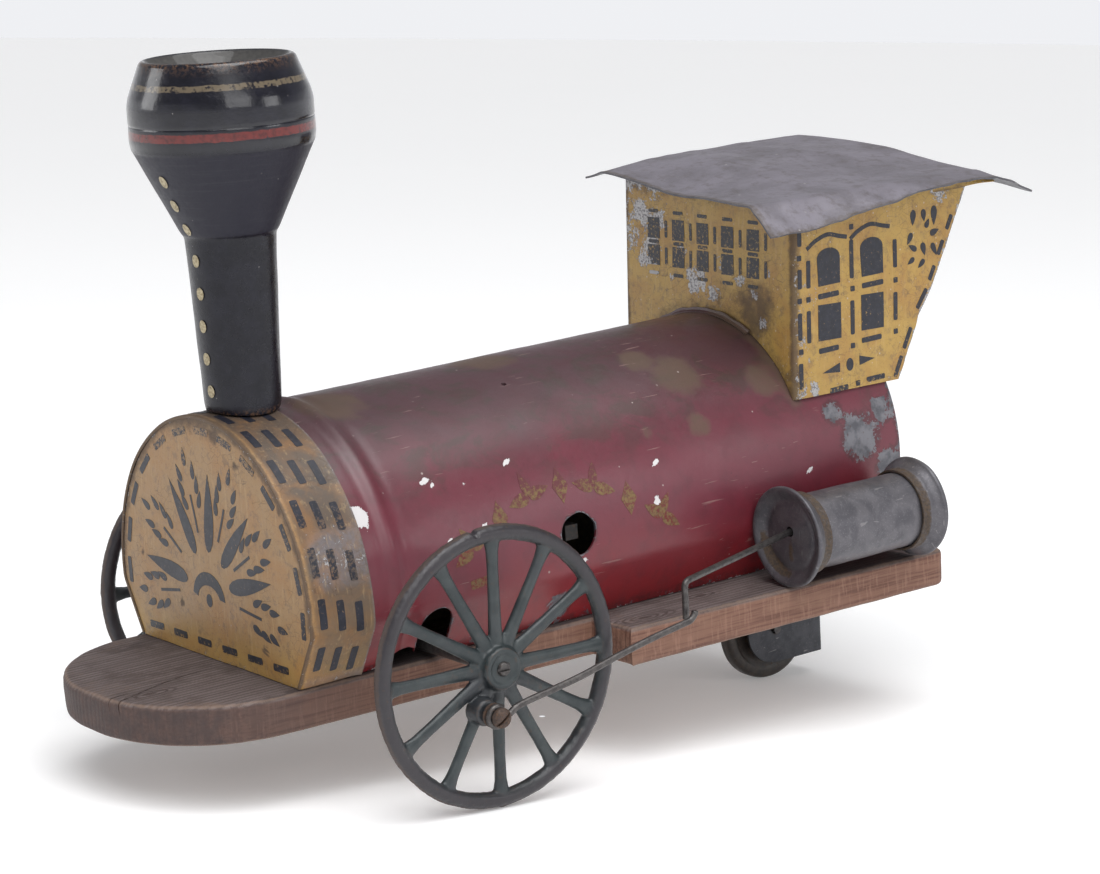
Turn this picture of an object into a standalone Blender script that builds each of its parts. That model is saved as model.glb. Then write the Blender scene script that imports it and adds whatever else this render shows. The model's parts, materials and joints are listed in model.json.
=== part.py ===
"""Antique clockwork toy locomotive: the design, as separate closed solids.

Metres, +Z up, wheels on z = 0. The locomotive faces -Y and its left side is +X.
Everything but the floor is laid out in the "train frame": its origin is the middle
of the drive axle, and it is pitched nose down, because the rear wheel is the taller
support. base_board carries that frame, and every other piece hangs from it.
"""
import math
import bmesh
import bpy
from mathutils import Vector

MM = 0.001

# --- driving dimensions, in millimetres, in the train frame (y back, z up) -------
WHEEL_R = 45.0            # drive wheel radius
AXLE_Y = -81.0            # world place of the drive axle
PITCH = 4.44              # nose-down tilt of the board, degrees
TIN = 0.8                 # sheet thickness
GAP = 0.3                 # clearance between neighbouring pieces

BOARD_TOP = -4.1
BOARD_T = 12.7
NOSE_Y, STEP_Y, TAIL_Y = -97.5, 63.5, 205.0
NARROW_W, WIDE_W = 50.0, 71.0
NOSE_RX, NOSE_RY = 46.0, 42.0

FACE_Y, BAND_REAR = -50.0, -26.5
BOILER_FRONT, BOILER_REAR = -31.5, 202.0
SHOULDER_Z = 14.0         # where the arch turns into the straight lower side
# arch radius, centre height and half-width on the board, at the front and the rear
BAND_ARCH = (58.5, 18.0, 48.5)
FRONT_ARCH = (57.2, 18.0, 47.2)
REAR_ARCH = (51.5, 28.5, 45.0)
BEAD_Y, BEAD_H, BEAD_HALF = -16.0, 1.3, 3.0
AXLE_SLOT_W, AXLE_SLOT_TOP = 12.6, 13.5
KEY_Y, KEY_Z, KEY_R = 57.0, 26.5, 7.0

STACK_Y = -33.0
STACK_FOOT = 76.0

CAB_W = 46.5
CAB_FRONT, CAB_RAKE = 158.3, 2.3
CAB_TOP = 122.2
ROOF_Z = 123.6

CYL_X, CYL_Z = 70.6, 13.8
CYL_FRONT, CYL_REAR = 133.0, 192.5
CAP_R, BARREL_R, CAP_DEPTH = 17.4, 13.0, 6.5

WHEEL_X = 84.5            # middle of the drive wheel's rim
RIM_R = 2.6
SPOKES = 12
AXLE_R = 2.4
CRANK_R, CRANK_ANGLE = 14.5, -121.5
WIRE_R = 1.1
ROD_X = 94.2              # plane of the connecting rod
LEG_Y, LEG_TOP, LEG_FOOT = 72.0, 13.5, 2.0
LEG_X = 89.4
REACH_IN = 12.0            # length of rod inside the cap at rest

REAR_AXLE = (179.0, -40.0)
REAR_R, REAR_W = 19.0, 8.0

PLATE_X, PLATE_T = 15.0, 1.0
INTER = (22.8, 19.5)      # intermediate arbor
GREAT_TEETH, INTER_PINION_TEETH = 58, 12
INTER_TEETH, AXLE_PINION_TEETH = 44, 16

# --- scene ----------------------------------------------------------------------
for ob in list(bpy.data.objects):
    bpy.data.objects.remove(ob, do_unlink=True)

scene = bpy.context.scene
scene.unit_settings.system = "METRIC"
scene.unit_settings.length_unit = "MILLIMETERS"
parts = bpy.data.collections.new("parts")
cutters = bpy.data.collections.new("cutters")
scene.collection.children.link(parts)
scene.collection.children.link(cutters)


# --- helpers --------------------------------------------------------------------
def material(name, colour, roughness, metallic=0.0):
    mat = bpy.data.materials.new(name)
    mat.use_nodes = True
    shader = mat.node_tree.nodes["Principled BSDF"]
    shader.inputs["Base Color"].default_value = (*colour, 1.0)
    shader.inputs["Roughness"].default_value = roughness
    shader.inputs["Metallic"].default_value = metallic
    return mat


def link(name, data, mat=None, parent=None, at=(0, 0, 0), turn=(0, 0, 0), cutter=False):
    """One object; `at` is in millimetres and `turn` in degrees, under the parent."""
    ob = bpy.data.objects.new(name, data)
    (cutters if cutter else parts).objects.link(ob)
    ob.parent = parent
    ob.location = Vector(at) * MM
    ob.rotation_euler = [math.radians(a) for a in turn]
    if cutter:
        ob.hide_render = True
        ob.display_type = "WIRE"
    if mat:
        data.materials.append(mat)
    return ob


def mesh(name, verts, faces):
    """A mesh from millimetre points, with its faces turned outward."""
    data = bpy.data.meshes.new(name)
    data.from_pydata([Vector(v) * MM for v in verts], [], faces)
    bm = bmesh.new()
    bm.from_mesh(data)
    bmesh.ops.recalc_face_normals(bm, faces=bm.faces)
    bm.to_mesh(data)
    bm.free()
    return data


def loft(name, sections):
    """A closed solid through rings with the same number of points."""
    n = len(sections[0])
    verts = [p for ring in sections for p in ring]
    faces = [tuple(range(n)), tuple(range(len(verts) - n, len(verts)))]
    for s in range(len(sections) - 1):
        for i in range(n):
            j = (i + 1) % n
            faces.append((s * n + i, s * n + j, (s + 1) * n + j, (s + 1) * n + i))
    return mesh(name, verts, faces)


def prism(name, outline, axis, low, high):
    """A flat outline of (a, b) points, extruded along one axis."""
    put = {"x": lambda a, b, t: (t, a, b), "y": lambda a, b, t: (a, t, b),
           "z": lambda a, b, t: (a, b, t)}[axis]
    return loft(name, [[put(a, b, t) for a, b in outline] for t in (low, high)])


def circle(radius, count=32, centre=(0.0, 0.0), phase=0.0):
    return [(centre[0] + radius * math.cos(math.tau * i / count + phase),
             centre[1] + radius * math.sin(math.tau * i / count + phase)) for i in range(count)]


def rectangle(a0, a1, b0, b1):
    return [(a0, b0), (a1, b0), (a1, b1), (a0, b1)]


def turned(name, profile, mat, parent, at, turn=(0, 0, 0), steps=40):
    """A turned solid about Z; the (radius, height) profile is listed from the top down."""
    data = bpy.data.meshes.new(name)
    data.from_pydata([(r * MM, 0.0, z * MM) for r, z in reversed(profile)], [],
                     [(i, i + 1) for i in range(len(profile) - 1)])
    ob = link(name, data, mat, parent, at, turn)
    screw = ob.modifiers.new("turn", "SCREW")
    screw.axis = "Z"
    screw.steps = screw.render_steps = steps
    screw.use_merge_vertices = True
    screw.merge_threshold = 0.00001
    return ob


def combine(ob, other, operation="DIFFERENCE"):
    cut = ob.modifiers.new(other.name, "BOOLEAN")
    cut.operation = operation
    cut.solver = "EXACT"
    cut.object = other
    return ob


def cutter(name, data, parent=None, at=(0, 0, 0), turn=(0, 0, 0)):
    return link(name, data, None, parent, at, turn, cutter=True)


def pin(name, radius, x0, x1, mat, parent, at, count=20):
    """A plain round bar along X."""
    return link(name, prism(name, circle(radius, count), "x", x0, x1), mat, parent, at)


def wire(name, points, radius, mat, parent, at=(0, 0, 0)):
    curve = bpy.data.curves.new(name, "CURVE")
    curve.dimensions = "3D"
    curve.bevel_depth = radius * MM
    curve.bevel_resolution = 2
    curve.use_fill_caps = True
    spline = curve.splines.new("POLY")
    spline.points.add(len(points) - 1)
    for point, place in zip(spline.points, points):
        point.co = (*(Vector(place) * MM), 1.0)
    return link(name, curve, mat, parent, at)


def arch(radius, centre, foot, foot_z=BOARD_TOP + GAP, count=25):
    """The boiler's outline, from the right foot over the top to the left foot."""
    turn0 = math.asin((SHOULDER_Z - centre) / radius)
    arc = [turn0 + (math.pi - 2 * turn0) * i / (count - 1) for i in range(count)]
    over = [(radius * math.cos(a), centre + radius * math.sin(a)) for a in arc]
    return [(foot, foot_z)] + over + [(-foot, foot_z)]


def blend(a, b, t):
    return tuple(x + (y - x) * t for x, y in zip(a, b))


def boiler_arch(y, grow=0.0):
    t = (y - BOILER_FRONT) / (BOILER_REAR - BOILER_FRONT)
    radius, centre, foot = blend(FRONT_ARCH, REAR_ARCH, t)
    return radius + grow, centre, foot + grow


def sheet_ring(y, outer, inner):
    """One ring of an open arch of sheet metal: outside one way, inside back."""
    return [(x, y, z) for x, z in arch(*outer)] + [(x, y, z) for x, z in reversed(arch(*inner))]


def gear(name, teeth, x0, x1, bore, mat, parent, at, phase, module=1.0):
    """A spur gear along X, `phase` in radians for the middle of its first tooth."""
    pitch_r = module * teeth / 2
    outline = []
    for i in range(teeth):
        middle = phase + math.tau * i / teeth
        for radius, half in ((pitch_r - 1.15, 0.90), (pitch_r + 0.75, 0.30)):
            outline.append((radius, middle - half / radius))
            if radius > pitch_r:
                outline.append((radius, middle + half / radius))
        outline.append((pitch_r - 1.15, middle + 0.90 / (pitch_r - 1.15)))
    ring = [(r * math.cos(a), r * math.sin(a)) for r, a in outline]
    ob = link(name, prism(name, ring, "x", x0, x1), mat, parent, at)
    hole = cutter(name + "_bore", prism(name + "_bore", circle(bore, 20), "x", x0 - 2, x1 + 2),
                  parent, at)
    return combine(ob, hole)


# --- materials ------------------------------------------------------------------
wood = material("weathered_board", (0.24, 0.12, 0.07), 0.75)
red = material("boiler_red", (0.22, 0.020, 0.022), 0.38)
ochre = material("ochre_paint", (0.42, 0.24, 0.055), 0.5)
black_wood = material("black_turned_wood", (0.012, 0.012, 0.016), 0.3)
roof_grey = material("roof_grey", (0.13, 0.115, 0.12), 0.45, 0.3)
cast = material("green_black_casting", (0.035, 0.045, 0.045), 0.5, 0.5)
tin = material("bare_tin", (0.20, 0.20, 0.22), 0.4, 0.8)
steel = material("dark_steel_wire", (0.14, 0.12, 0.11), 0.4, 0.9)
rusty = material("rusty_screw", (0.12, 0.08, 0.06), 0.6, 0.7)
brass = material("clock_brass", (0.55, 0.38, 0.14), 0.35, 1.0)
spring_steel = material("blued_spring", (0.06, 0.07, 0.11), 0.3, 1.0)
dark_wheel = material("rear_wheel_black", (0.025, 0.016, 0.012), 0.6)

# --- base board, which carries the train frame ------------------------------------
outline = []
for side in (1, -1):                      # round nose, then down each side
    quarter = [(side * (NARROW_W - NOSE_RX + NOSE_RX * math.sin(a)),
                NOSE_Y + NOSE_RY - NOSE_RY * math.cos(a))
               for a in [math.pi / 2 * i / 9 for i in range(10)]]
    corner = [(side * (WIDE_W - 5 + 5 * math.cos(a)), TAIL_Y - 5 + 5 * math.sin(a))
              for a in [math.pi / 2 * i / 3 for i in range(4)]]
    run = quarter + [(side * NARROW_W, STEP_Y), (side * WIDE_W, STEP_Y)] + corner
    outline += run if side == 1 else run[::-1]
board = link("base_board", prism("base_board", outline, "z", BOARD_TOP - BOARD_T, BOARD_TOP), wood,
             at=(0, AXLE_Y, WHEEL_R), turn=(PITCH, 0, 0))
combine(board, cutter("pinion_slot", prism("pinion_slot", rectangle(3.0, 11.5, -11, 11), "z",
                                           BOARD_TOP - BOARD_T - 5, BOARD_TOP + 5), board))

# --- smokebox: band and face --------------------------------------------------------
inner_band = (BAND_ARCH[0] - TIN, BAND_ARCH[1], BAND_ARCH[2] - TIN)
link("smokebox_band", loft("smokebox_band", [sheet_ring(y, BAND_ARCH, inner_band)
                                             for y in (FACE_Y, BAND_REAR)]), ochre, board)
face_arch = (inner_band[0] - GAP, inner_band[1], inner_band[2] - GAP)
link("smokebox_face", prism("smokebox_face", arch(*face_arch), "y", FACE_Y + 0.6, FACE_Y + 0.6 + TIN),
     ochre, board)
combine(bpy.data.objects["smokebox_band"],
        cutter("stack_screw_hole", prism("stack_screw_hole", circle(1.9, 16, (0, STACK_Y)), "z", 60, 90),
               board))

# --- boiler ---------------------------------------------------------------------
stations = [BOILER_FRONT]
for step in range(7):                     # the rolled bead, a half sine wave
    stations.append(BEAD_Y - BEAD_HALF + step * BEAD_HALF / 3)
stations += [20.0, 60.0, 100.0, 150.0, BOILER_REAR]
rings = []
for y in stations:
    reach = max(0.0, 1 - abs(y - BEAD_Y) / BEAD_HALF)
    bulge = BEAD_H * math.sin(reach * math.pi / 2)
    rings.append(sheet_ring(y, boiler_arch(y, bulge), boiler_arch(y, bulge - TIN)))
boiler = link("boiler_shell", loft("boiler_shell", rings), red, board)
half = AXLE_SLOT_W / 2
slot = [(-half, -20), (half, -20)] + [(half * math.cos(a), AXLE_SLOT_TOP - half + half * math.sin(a))
                                      for a in [math.pi * i / 10 for i in range(11)]]
combine(boiler, cutter("axle_slots", prism("axle_slots", slot, "x", -70, 70), board))
combine(boiler, cutter("key_hole", prism("key_hole", circle(KEY_R, 28, (KEY_Y, KEY_Z)), "x", 40, 70), board))

# --- smokestack: one turned piece on a screw ----------------------------------------
cup = [(0.0, 104.0), (10.0, 104.5), (18.5, 108.0), (21.6, 112.0), (23.2, 112.8), (24.6, 112.0)]
flare = [(28.7, 101.5), (29.3, 98.5), (29.4, 88.0), (28.9, 85.0), (15.6, 58.2), (14.9, 56.9), (14.4, 56.4)]
stack = turned("smokestack", cup + flare + [(14.2, 50.0), (12.2, 0.6), (11.8, 0.0), (0.0, 0.0)],
               black_wood, board, (0, STACK_Y, STACK_FOOT), steps=48)
combine(stack, cutter("stack_seat", loft("stack_seat", [
    [(x, y, z) for x, z in arch(BAND_ARCH[0] + 0.4, BAND_ARCH[1], BAND_ARCH[2])] for y in (-60, 0)]), board))
combine(stack, cutter("stack_screw_bore", prism("stack_screw_bore", circle(1.9, 16, (0, STACK_Y)), "z", 60, 90),
                      board))
turned("smokestack_screw", [(0.0, 15.0), (0.6, 13.6), (1.5, 11.0), (1.5, 0.0), (3.6, -0.4), (3.2, -1.6), (0.0, -2.0)],
       rusty, board, (0, STACK_Y, 74.2), steps=20)

# --- cab: one folded sheet, standing on the boiler ------------------------------------
lean = math.tan(math.radians(CAB_RAKE))
side = [(CAB_FRONT - 20 * lean, 30), (CAB_FRONT + (CAB_TOP - 50) * lean, CAB_TOP), (245.0, CAB_TOP),
        (224.0, 83.0), (216.5, 71.0), (206.0, 51.0), (206.0, 30)]
cab = link("cab_body", prism("cab_body", side, "x", -CAB_W, CAB_W), ochre, board)
room = [(y + (TIN if i < 2 else 40), z + (0, 20, 20, 0, 0, 0, -20)[i]) for i, (y, z) in enumerate(side)]
room[0] = (room[0][0] - 20 * lean, room[0][1] - 20)
combine(cab, cutter("cab_room", prism("cab_room", room, "x", -CAB_W + TIN, CAB_W - TIN), board))
combine(cab, cutter("cab_saddle", loft("cab_saddle", [
    [(x, y, z) for x, z in arch(*boiler_arch(y, GAP))] for y in (140.0, 230.0)]), board))

# Roof sheet: flat, with bent-down eaves and a rear flap that droops at the left corner.
columns = ((-58.0, -4.5), (-46.5, 0.0), (-15.0, 0.3), (15.0, 0.2), (46.5, 0.0), (58.0, -7.5))
roof_verts, roof_faces = [], []
for i, (x, drop) in enumerate(columns):
    t = (x + 58.0) / 116.0
    for y, sag in ((146.0 + 3 * t - 3, -0.4), (190.0, 0.0), (246.0 + 2 * t, 0.0), (256.0 + 12 * t, -2.0 - 6.0 * t)):
        roof_verts.append((x, y, ROOF_Z + drop + sag))
    if i:
        roof_faces += [(4 * i - 4 + k, 4 * i + k, 4 * i + k + 1, 4 * i - 3 + k) for k in range(3)]
roof = link("cab_roof", mesh("cab_roof", roof_verts, roof_faces), roof_grey, board)
thick = roof.modifiers.new("sheet", "SOLIDIFY")
thick.thickness = TIN * MM
thick.offset = 0.0

# --- drive axle and wheels -------------------------------------------------------
axle = pin("drive_axle", AXLE_R, -89.0, 89.0, steel, board, (0, 0, 0), 24)


def drive_wheel(name, sign):
    """Round rim, twelve flared spokes, a hub and a crank boss, cast in one."""
    rim_y = WHEEL_R - RIM_R
    rings = []
    for i in range(60):
        a = math.tau * i / 60
        ring = [((rim_y + RIM_R * math.cos(b)) * math.cos(a), (rim_y + RIM_R * math.cos(b)) * math.sin(a),
                 RIM_R * math.sin(b)) for b in [math.tau * k / 8 + math.pi / 8 for k in range(8)]]
        rings += ring
    faces = [(i * 8 + k, (i * 8 + 8 + k) % 480, (i * 8 + 8 + (k + 1) % 8) % 480, i * 8 + (k + 1) % 8)
             for i in range(60) for k in range(8)]
    rim = mesh(name, [(z, x, y) for x, y, z in rings], faces)
    wheel = link(name, rim, cast, axle, (sign * WHEEL_X, 0, 0))
    star = []
    phase = math.radians(CRANK_ANGLE)
    for i in range(SPOKES):
        a = phase + math.tau * i / SPOKES
        along, across = (math.cos(a), math.sin(a)), (-math.sin(a), math.cos(a))
        for r, w in ((rim_y, -2.5), (rim_y, 2.5), (34.0, 1.5), (10.0, 1.9)):
            if w < 0:
                star += [(along[0] * q + across[0] * v, along[1] * q + across[1] * v)
                         for q, v in ((10.0, -1.9), (34.0, -1.5), (rim_y, -2.5))]
            else:
                star.append((along[0] * r + across[0] * w, along[1] * r + across[1] * w))
        valley = a + math.pi / SPOKES
        star.append((6.0 * math.cos(valley), 6.0 * math.sin(valley)))
    combine(wheel, cutter(name + "_spokes", prism(name + "_spokes", star, "x", -1.5, 1.5), wheel), "UNION")
    combine(wheel, cutter(name + "_hub", prism(name + "_hub", circle(7.0, 28), "x",
                                               -4.0 if sign > 0 else -4.5, 4.5 if sign > 0 else 4.0), wheel), "UNION")
    boss_at = (CRANK_R * math.cos(phase), CRANK_R * math.sin(phase))
    ends = (-1.6, 5.2) if sign > 0 else (-5.2, 1.6)
    combine(wheel, cutter(name + "_boss", prism(name + "_boss", circle(4.3, 20, boss_at), "x", *ends), wheel), "UNION")
    combine(wheel, cutter(name + "_bore", prism(name + "_bore", circle(AXLE_R + 0.15, 24), "x", -9, 9), wheel))
    combine(wheel, cutter(name + "_tap", prism(name + "_tap", circle(1.75, 16, boss_at), "x", -9, 9), wheel))
    return boss_at


for side_name, sign in (("left", 1), ("right", -1)):
    boss_y, boss_z = drive_wheel("drive_wheel_" + side_name, sign)
    crank = (sign * ROD_X, boss_y, boss_z)
    # The screw's shank runs from the wheel out through the washer and the rod's eye.
    turned("crank_screw_" + side_name,
           [(0.0, 4.4), (2.6, 4.0), (3.3, 3.0), (3.3, 1.7), (1.55, 1.5), (1.55, -10.4), (0.0, -10.8)],
           rusty, axle, crank, (0, sign * 90, 0), steps=20)
    washer = link("crank_washer_" + side_name, prism("washer_" + side_name, circle(3.9, 20), "x", -0.5, 0.5),
                  rusty, axle, (sign * (ROD_X - WIRE_R - 0.85), boss_y, boss_z))
    combine(washer, cutter("washer_bore_" + side_name,
                           prism("washer_bore_" + side_name, circle(1.8, 16), "x", -3, 3), washer))

    # Connecting rod: one wire, an open eye round the crank pin, then a long cranked run.
    eye_r = 1.55 + WIRE_R + 0.35
    eye = [(0, eye_r * math.cos(a), eye_r * math.sin(a))
           for a in [math.radians(55) + math.radians(285) * i / 12 for i in range(13)]]
    foot_y, foot_z = LEG_Y - boss_y, LEG_FOOT - boss_z
    run = [(0, 7.5, 1.6), (0, 20.0, 3.6), (0, 46.0, 8.6), (0, foot_y - 2.5, foot_z - 0.3),
           (0, foot_y - 0.6, foot_z + 0.6), (0, foot_y, foot_z + 2.2)]
    wire("connecting_rod_" + side_name, eye + run, WIRE_R, steel, board, crank)

    # Piston rod: down leg, bend, then straight through the cap into the barrel.
    hole = Vector((CYL_X, CYL_FRONT, CYL_Z + 1.5))
    bend = Vector((LEG_X, LEG_Y, LEG_TOP))
    run_dir = (hole - bend).normalized()
    tip = hole + run_dir * REACH_IN
    points = [(LEG_X, LEG_Y, LEG_FOOT), (LEG_X, LEG_Y, LEG_TOP - 2.0),
              bend + run_dir * 0.8 - Vector((0, 0, 0.6)), bend + run_dir * 2.4, tip]
    wire("piston_rod_" + side_name, [(sign * p[0], p[1], p[2]) for p in points], WIRE_R, steel, board)

    # Cylinder: an open barrel between two flanged caps, the front one with the rod hole.
    place = (sign * CYL_X, 0, CYL_Z)
    barrel = link("cylinder_barrel_" + side_name,
                  prism("cylinder_barrel_" + side_name, circle(BARREL_R, 36), "y", CYL_FRONT + 2.5, CYL_REAR - 2.5),
                  tin, board, place)
    combine(barrel, cutter("barrel_bore_" + side_name,
                           prism("barrel_bore_" + side_name, circle(BARREL_R - TIN, 36), "y",
                                 CYL_FRONT - 9, CYL_REAR + 9), board, place))
    inside = BARREL_R + GAP
    cap = [(0.0, 0.0), (10.0, 0.0), (12.0, -0.6), (15.4, 1.6), (16.6, 2.2), (CAP_R, 1.8), (CAP_R, 0.9),
           (16.6, 0.2), (15.6, -1.4), (inside + TIN, -3.2), (inside + TIN, -CAP_DEPTH), (inside, -CAP_DEPTH),
           (inside, -2.2), (inside - 0.4, -1.6), (0.0, -1.2)]
    front = turned("cylinder_front_cap_" + side_name, cap, tin, board,
                   (sign * CYL_X, CYL_FRONT + 0.4, CYL_Z), (90, 0, 0), steps=36)
    rear = turned("cylinder_rear_cap_" + side_name, cap, tin, board,
                  (sign * CYL_X, CYL_REAR - 0.4, CYL_Z), (-90, 0, 0), steps=36)
    across = Vector((sign * run_dir.x, run_dir.y, run_dir.z))
    middle = Vector((sign * hole.x, hole.y, hole.z)) * MM
    bore = cutter("rod_hole_" + side_name, prism("rod_hole_" + side_name, circle(WIRE_R + 0.5, 16), "z", -8, 8), board)
    bore.location = middle
    bore.rotation_euler = across.to_track_quat("Z", "Y").to_euler()
    combine(front, bore)

# --- rear wheel in its tin bracket --------------------------------------------------
ry, rz = REAR_AXLE
under = BOARD_TOP - BOARD_T - GAP
half_w = REAR_W / 2 + 1.0
cheek = [(166.5, under), (201.0, under), (201.0, rz - 10.5)] + \
        [(ry + 12.5 * math.cos(a), rz + 12.5 * math.sin(a)) for a in
         [math.radians(-60 - 120 * i / 8) for i in range(9)]]
bracket = link("rear_bracket", prism("rear_bracket", cheek, "x", -half_w - TIN, half_w + TIN), tin, board)
combine(bracket, cutter("bracket_room", prism("bracket_room", rectangle(140, 201 - TIN, rz - 40, under - TIN),
                                              "x", -half_w, half_w), board))
combine(bracket, cutter("bracket_bore", prism("bracket_bore", circle(1.8, 16, (ry, rz)), "x", -20, 20), board))
rear_axle = pin("rear_axle", 1.5, -half_w - TIN - 2.2, half_w + TIN + 2.2, steel, board, (0, ry, rz), 16)
rear = turned("rear_wheel", [(0.0, 4.0), (5.0, 4.0), (5.6, 3.2), (17.8, 3.0), (REAR_R, 2.0), (REAR_R, -2.0),
                             (17.8, -3.0), (5.6, -3.2), (5.0, -4.0), (0.0, -4.0)],
              dark_wheel, board, (0, ry, rz), (0, 90, 0), steps=44)
combine(rear, cutter("rear_bore", prism("rear_bore", circle(1.8, 16, (ry, rz)), "x", -20, 20), board))
for label, ny in (("front", 170.5), ("rear", 196.0)):
    combine(bracket, cutter("nail_hole_" + label, prism("nail_hole_" + label, circle(0.95, 12, (0, ny)), "z",
                                                        under - 5, under + 2), board))
    combine(board, cutter("nail_pilot_" + label, prism("nail_pilot_" + label, circle(0.95, 12, (0, ny)), "z",
                                                       under - 2, under + 9.5), board))
    turned("bracket_nail_" + label, [(0.0, 9.3), (0.7, 7.8), (0.7, -TIN - GAP), (1.9, -TIN - GAP - 0.1),
                                     (1.6, -TIN - GAP - 0.8), (0.0, -TIN - GAP - 1.0)],
           rusty, board, (0, ny, under), steps=14)

# --- clockwork movement -------------------------------------------------------------
plate_outline = [(-11, BOARD_TOP + GAP), (84, BOARD_TOP + GAP), (92, 6), (92, 46), (84, 54), (30, 54), (-4, 20), (-11, 8)]
pillar_spots = ((-5.0, 13.0), (31.5, 50.5), (85.0, 44.0), (87.0, 3.5))
holes = [(AXLE_R + 0.4, (0.0, 0.0)), (1.6 + 0.3, INTER), (3.0 + 0.3, (KEY_Y, KEY_Z))]
for side_name, sign in (("left", 1), ("right", -1)):
    x0 = PLATE_X if sign > 0 else -PLATE_X - PLATE_T
    plate = link("movement_plate_" + side_name, prism("movement_plate_" + side_name, plate_outline, "x",
                                                      x0, x0 + PLATE_T), brass, board)
    foot_x = (x0, x0 + 9) if sign > 0 else (x0 + PLATE_T - 9, x0 + PLATE_T)
    foot = cutter("plate_foot_" + side_name,
                  prism("plate_foot_" + side_name, rectangle(*foot_x, 14, 80), "z",
                        BOARD_TOP + GAP, BOARD_TOP + GAP + PLATE_T), board)
    combine(plate, foot, "UNION")
    drilled = holes + [(1.3, spot) for spot in pillar_spots]
    for i, (radius, (hy, hz)) in enumerate(drilled):
        name = "plate_hole_%s_%d" % (side_name, i)
        combine(plate, cutter(name, prism(name, circle(radius, 16, (hy, hz)), "x", -30, 30), board))
    for label, ty in (("front", 20.0), ("rear", 74.0)):
        tx = sign * (PLATE_X + 5.5)
        name = "plate_tack_%s_%s" % (label, side_name)
        pilot = prism(name + "_pilot", circle(0.95, 12, (tx, ty)), "z", BOARD_TOP - 8, BOARD_TOP + 4)
        hole = cutter(name + "_hole", pilot, board)
        combine(plate, hole)
        combine(board, hole)
        turned(name, [(0.0, 2.2), (1.5, 2.0), (1.8, PLATE_T + GAP + 0.2), (0.7, PLATE_T + GAP + 0.1), (0.7, -6.0), (0.0, -7.2)],
               rusty, board, (tx, ty, BOARD_TOP), steps=14)
for i, (py, pz) in enumerate(pillar_spots):
    reach = PLATE_X - 0.2
    # A shouldered pillar: its thin ends sit in the plates.
    turned("movement_pillar_%d" % (i + 1),
           [(0.0, reach + 2.0), (1.1, reach + 1.8), (1.1, reach), (2.2, reach), (2.2, -reach), (1.1, -reach),
            (1.1, -reach - 1.8), (0.0, -reach - 2.0)], steel, board, (0, py, pz), (0, 90, 0), steps=16)


def mesh_phase(teeth, from_point, to_point, tooth_on_line):
    """Phase that puts a tooth, or a gap, of a gear on the line to its neighbour."""
    angle = math.atan2(to_point[1] - from_point[1], to_point[0] - from_point[0])
    return angle + (0.0 if tooth_on_line else math.pi / teeth)


AXLE_POINT, KEY_POINT = (0.0, 0.0), (KEY_Y, KEY_Z)
gear("axle_pinion", AXLE_PINION_TEETH, 4.6, 10.2, AXLE_R + 0.15, brass, axle, (0, 0, 0),
     mesh_phase(AXLE_PINION_TEETH, AXLE_POINT, INTER, False))
inter_arbor = pin("intermediate_arbor", 1.6, -PLATE_X - 1.6, PLATE_X + 1.6, steel, board, (0, *INTER), 16)
gear("intermediate_wheel", INTER_TEETH, 6.4, 8.4, 1.75, brass, inter_arbor, (0, 0, 0),
     mesh_phase(INTER_TEETH, INTER, AXLE_POINT, True))
gear("intermediate_pinion", INTER_PINION_TEETH, -4.6, 5.9, 1.75, brass, inter_arbor, (0, 0, 0),
     mesh_phase(INTER_PINION_TEETH, INTER, KEY_POINT, False))
great = gear("great_wheel", GREAT_TEETH, 1.0, 3.0, 3.25, brass, board, (0, *KEY_POINT),
             mesh_phase(GREAT_TEETH, KEY_POINT, INTER, True))
arbor = pin("winding_arbor", 3.0, -PLATE_X - 1.8, PLATE_X + 4.0, steel, great, (0, 0, 0), 24)
square = [(2.5, 2.5), (-2.5, 2.5), (-2.5, -2.5), (2.5, -2.5)]
combine(arbor, cutter("winding_square", prism("winding_square", square, "x", PLATE_X + 2.0, 50.5), great), "UNION")

RATCHET_TEETH, RATCHET_R = 14, 10.0
saw = []
for i in range(RATCHET_TEETH):
    a = math.tau * i / RATCHET_TEETH
    saw += [(RATCHET_R * math.cos(a), RATCHET_R * math.sin(a)),
            ((RATCHET_R - 2.0) * math.cos(a + 0.02), (RATCHET_R - 2.0) * math.sin(a + 0.02))]
ratchet = link("ratchet_wheel", prism("ratchet_wheel", saw, "x", 3.6, 5.4), steel, arbor)
combine(ratchet, cutter("ratchet_bore", prism("ratchet_bore", circle(3.15, 24), "x", 0, 9), arbor))
click_pin_at = (14.2, 9.0)
click_shape = [(3.0, 11.2), (3.4, 10.2), (12.6, 6.4), (15.6, 6.6), (17.0, 9.2), (15.4, 11.6), (12.4, 11.6)]
click = link("click", prism("click", click_shape, "x", 3.6, 5.4), steel, great)
combine(click, cutter("click_bore", prism("click_bore", circle(1.45, 14, click_pin_at), "x", 0, 9), great))
combine(great, cutter("click_rivet_hole", prism("click_rivet_hole", circle(1.45, 14, click_pin_at), "x", 0, 9), great))
turned("click_rivet", [(0.0, 3.2), (2.2, 2.8), (2.2, 2.0), (1.2, 1.9), (1.2, -2.6), (0.0, -2.8)],
       rusty, great, (3.6, *click_pin_at), (0, 90, 0), steps=14)
wire("click_spring", [(4.5, 19.0, -6.0), (4.5, 19.4, 2.0), (4.5, 18.9, 8.0), (4.5, 17.2, 12.6), (4.5, 12.4, 12.6)],
     0.35, spring_steel, great)

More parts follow.
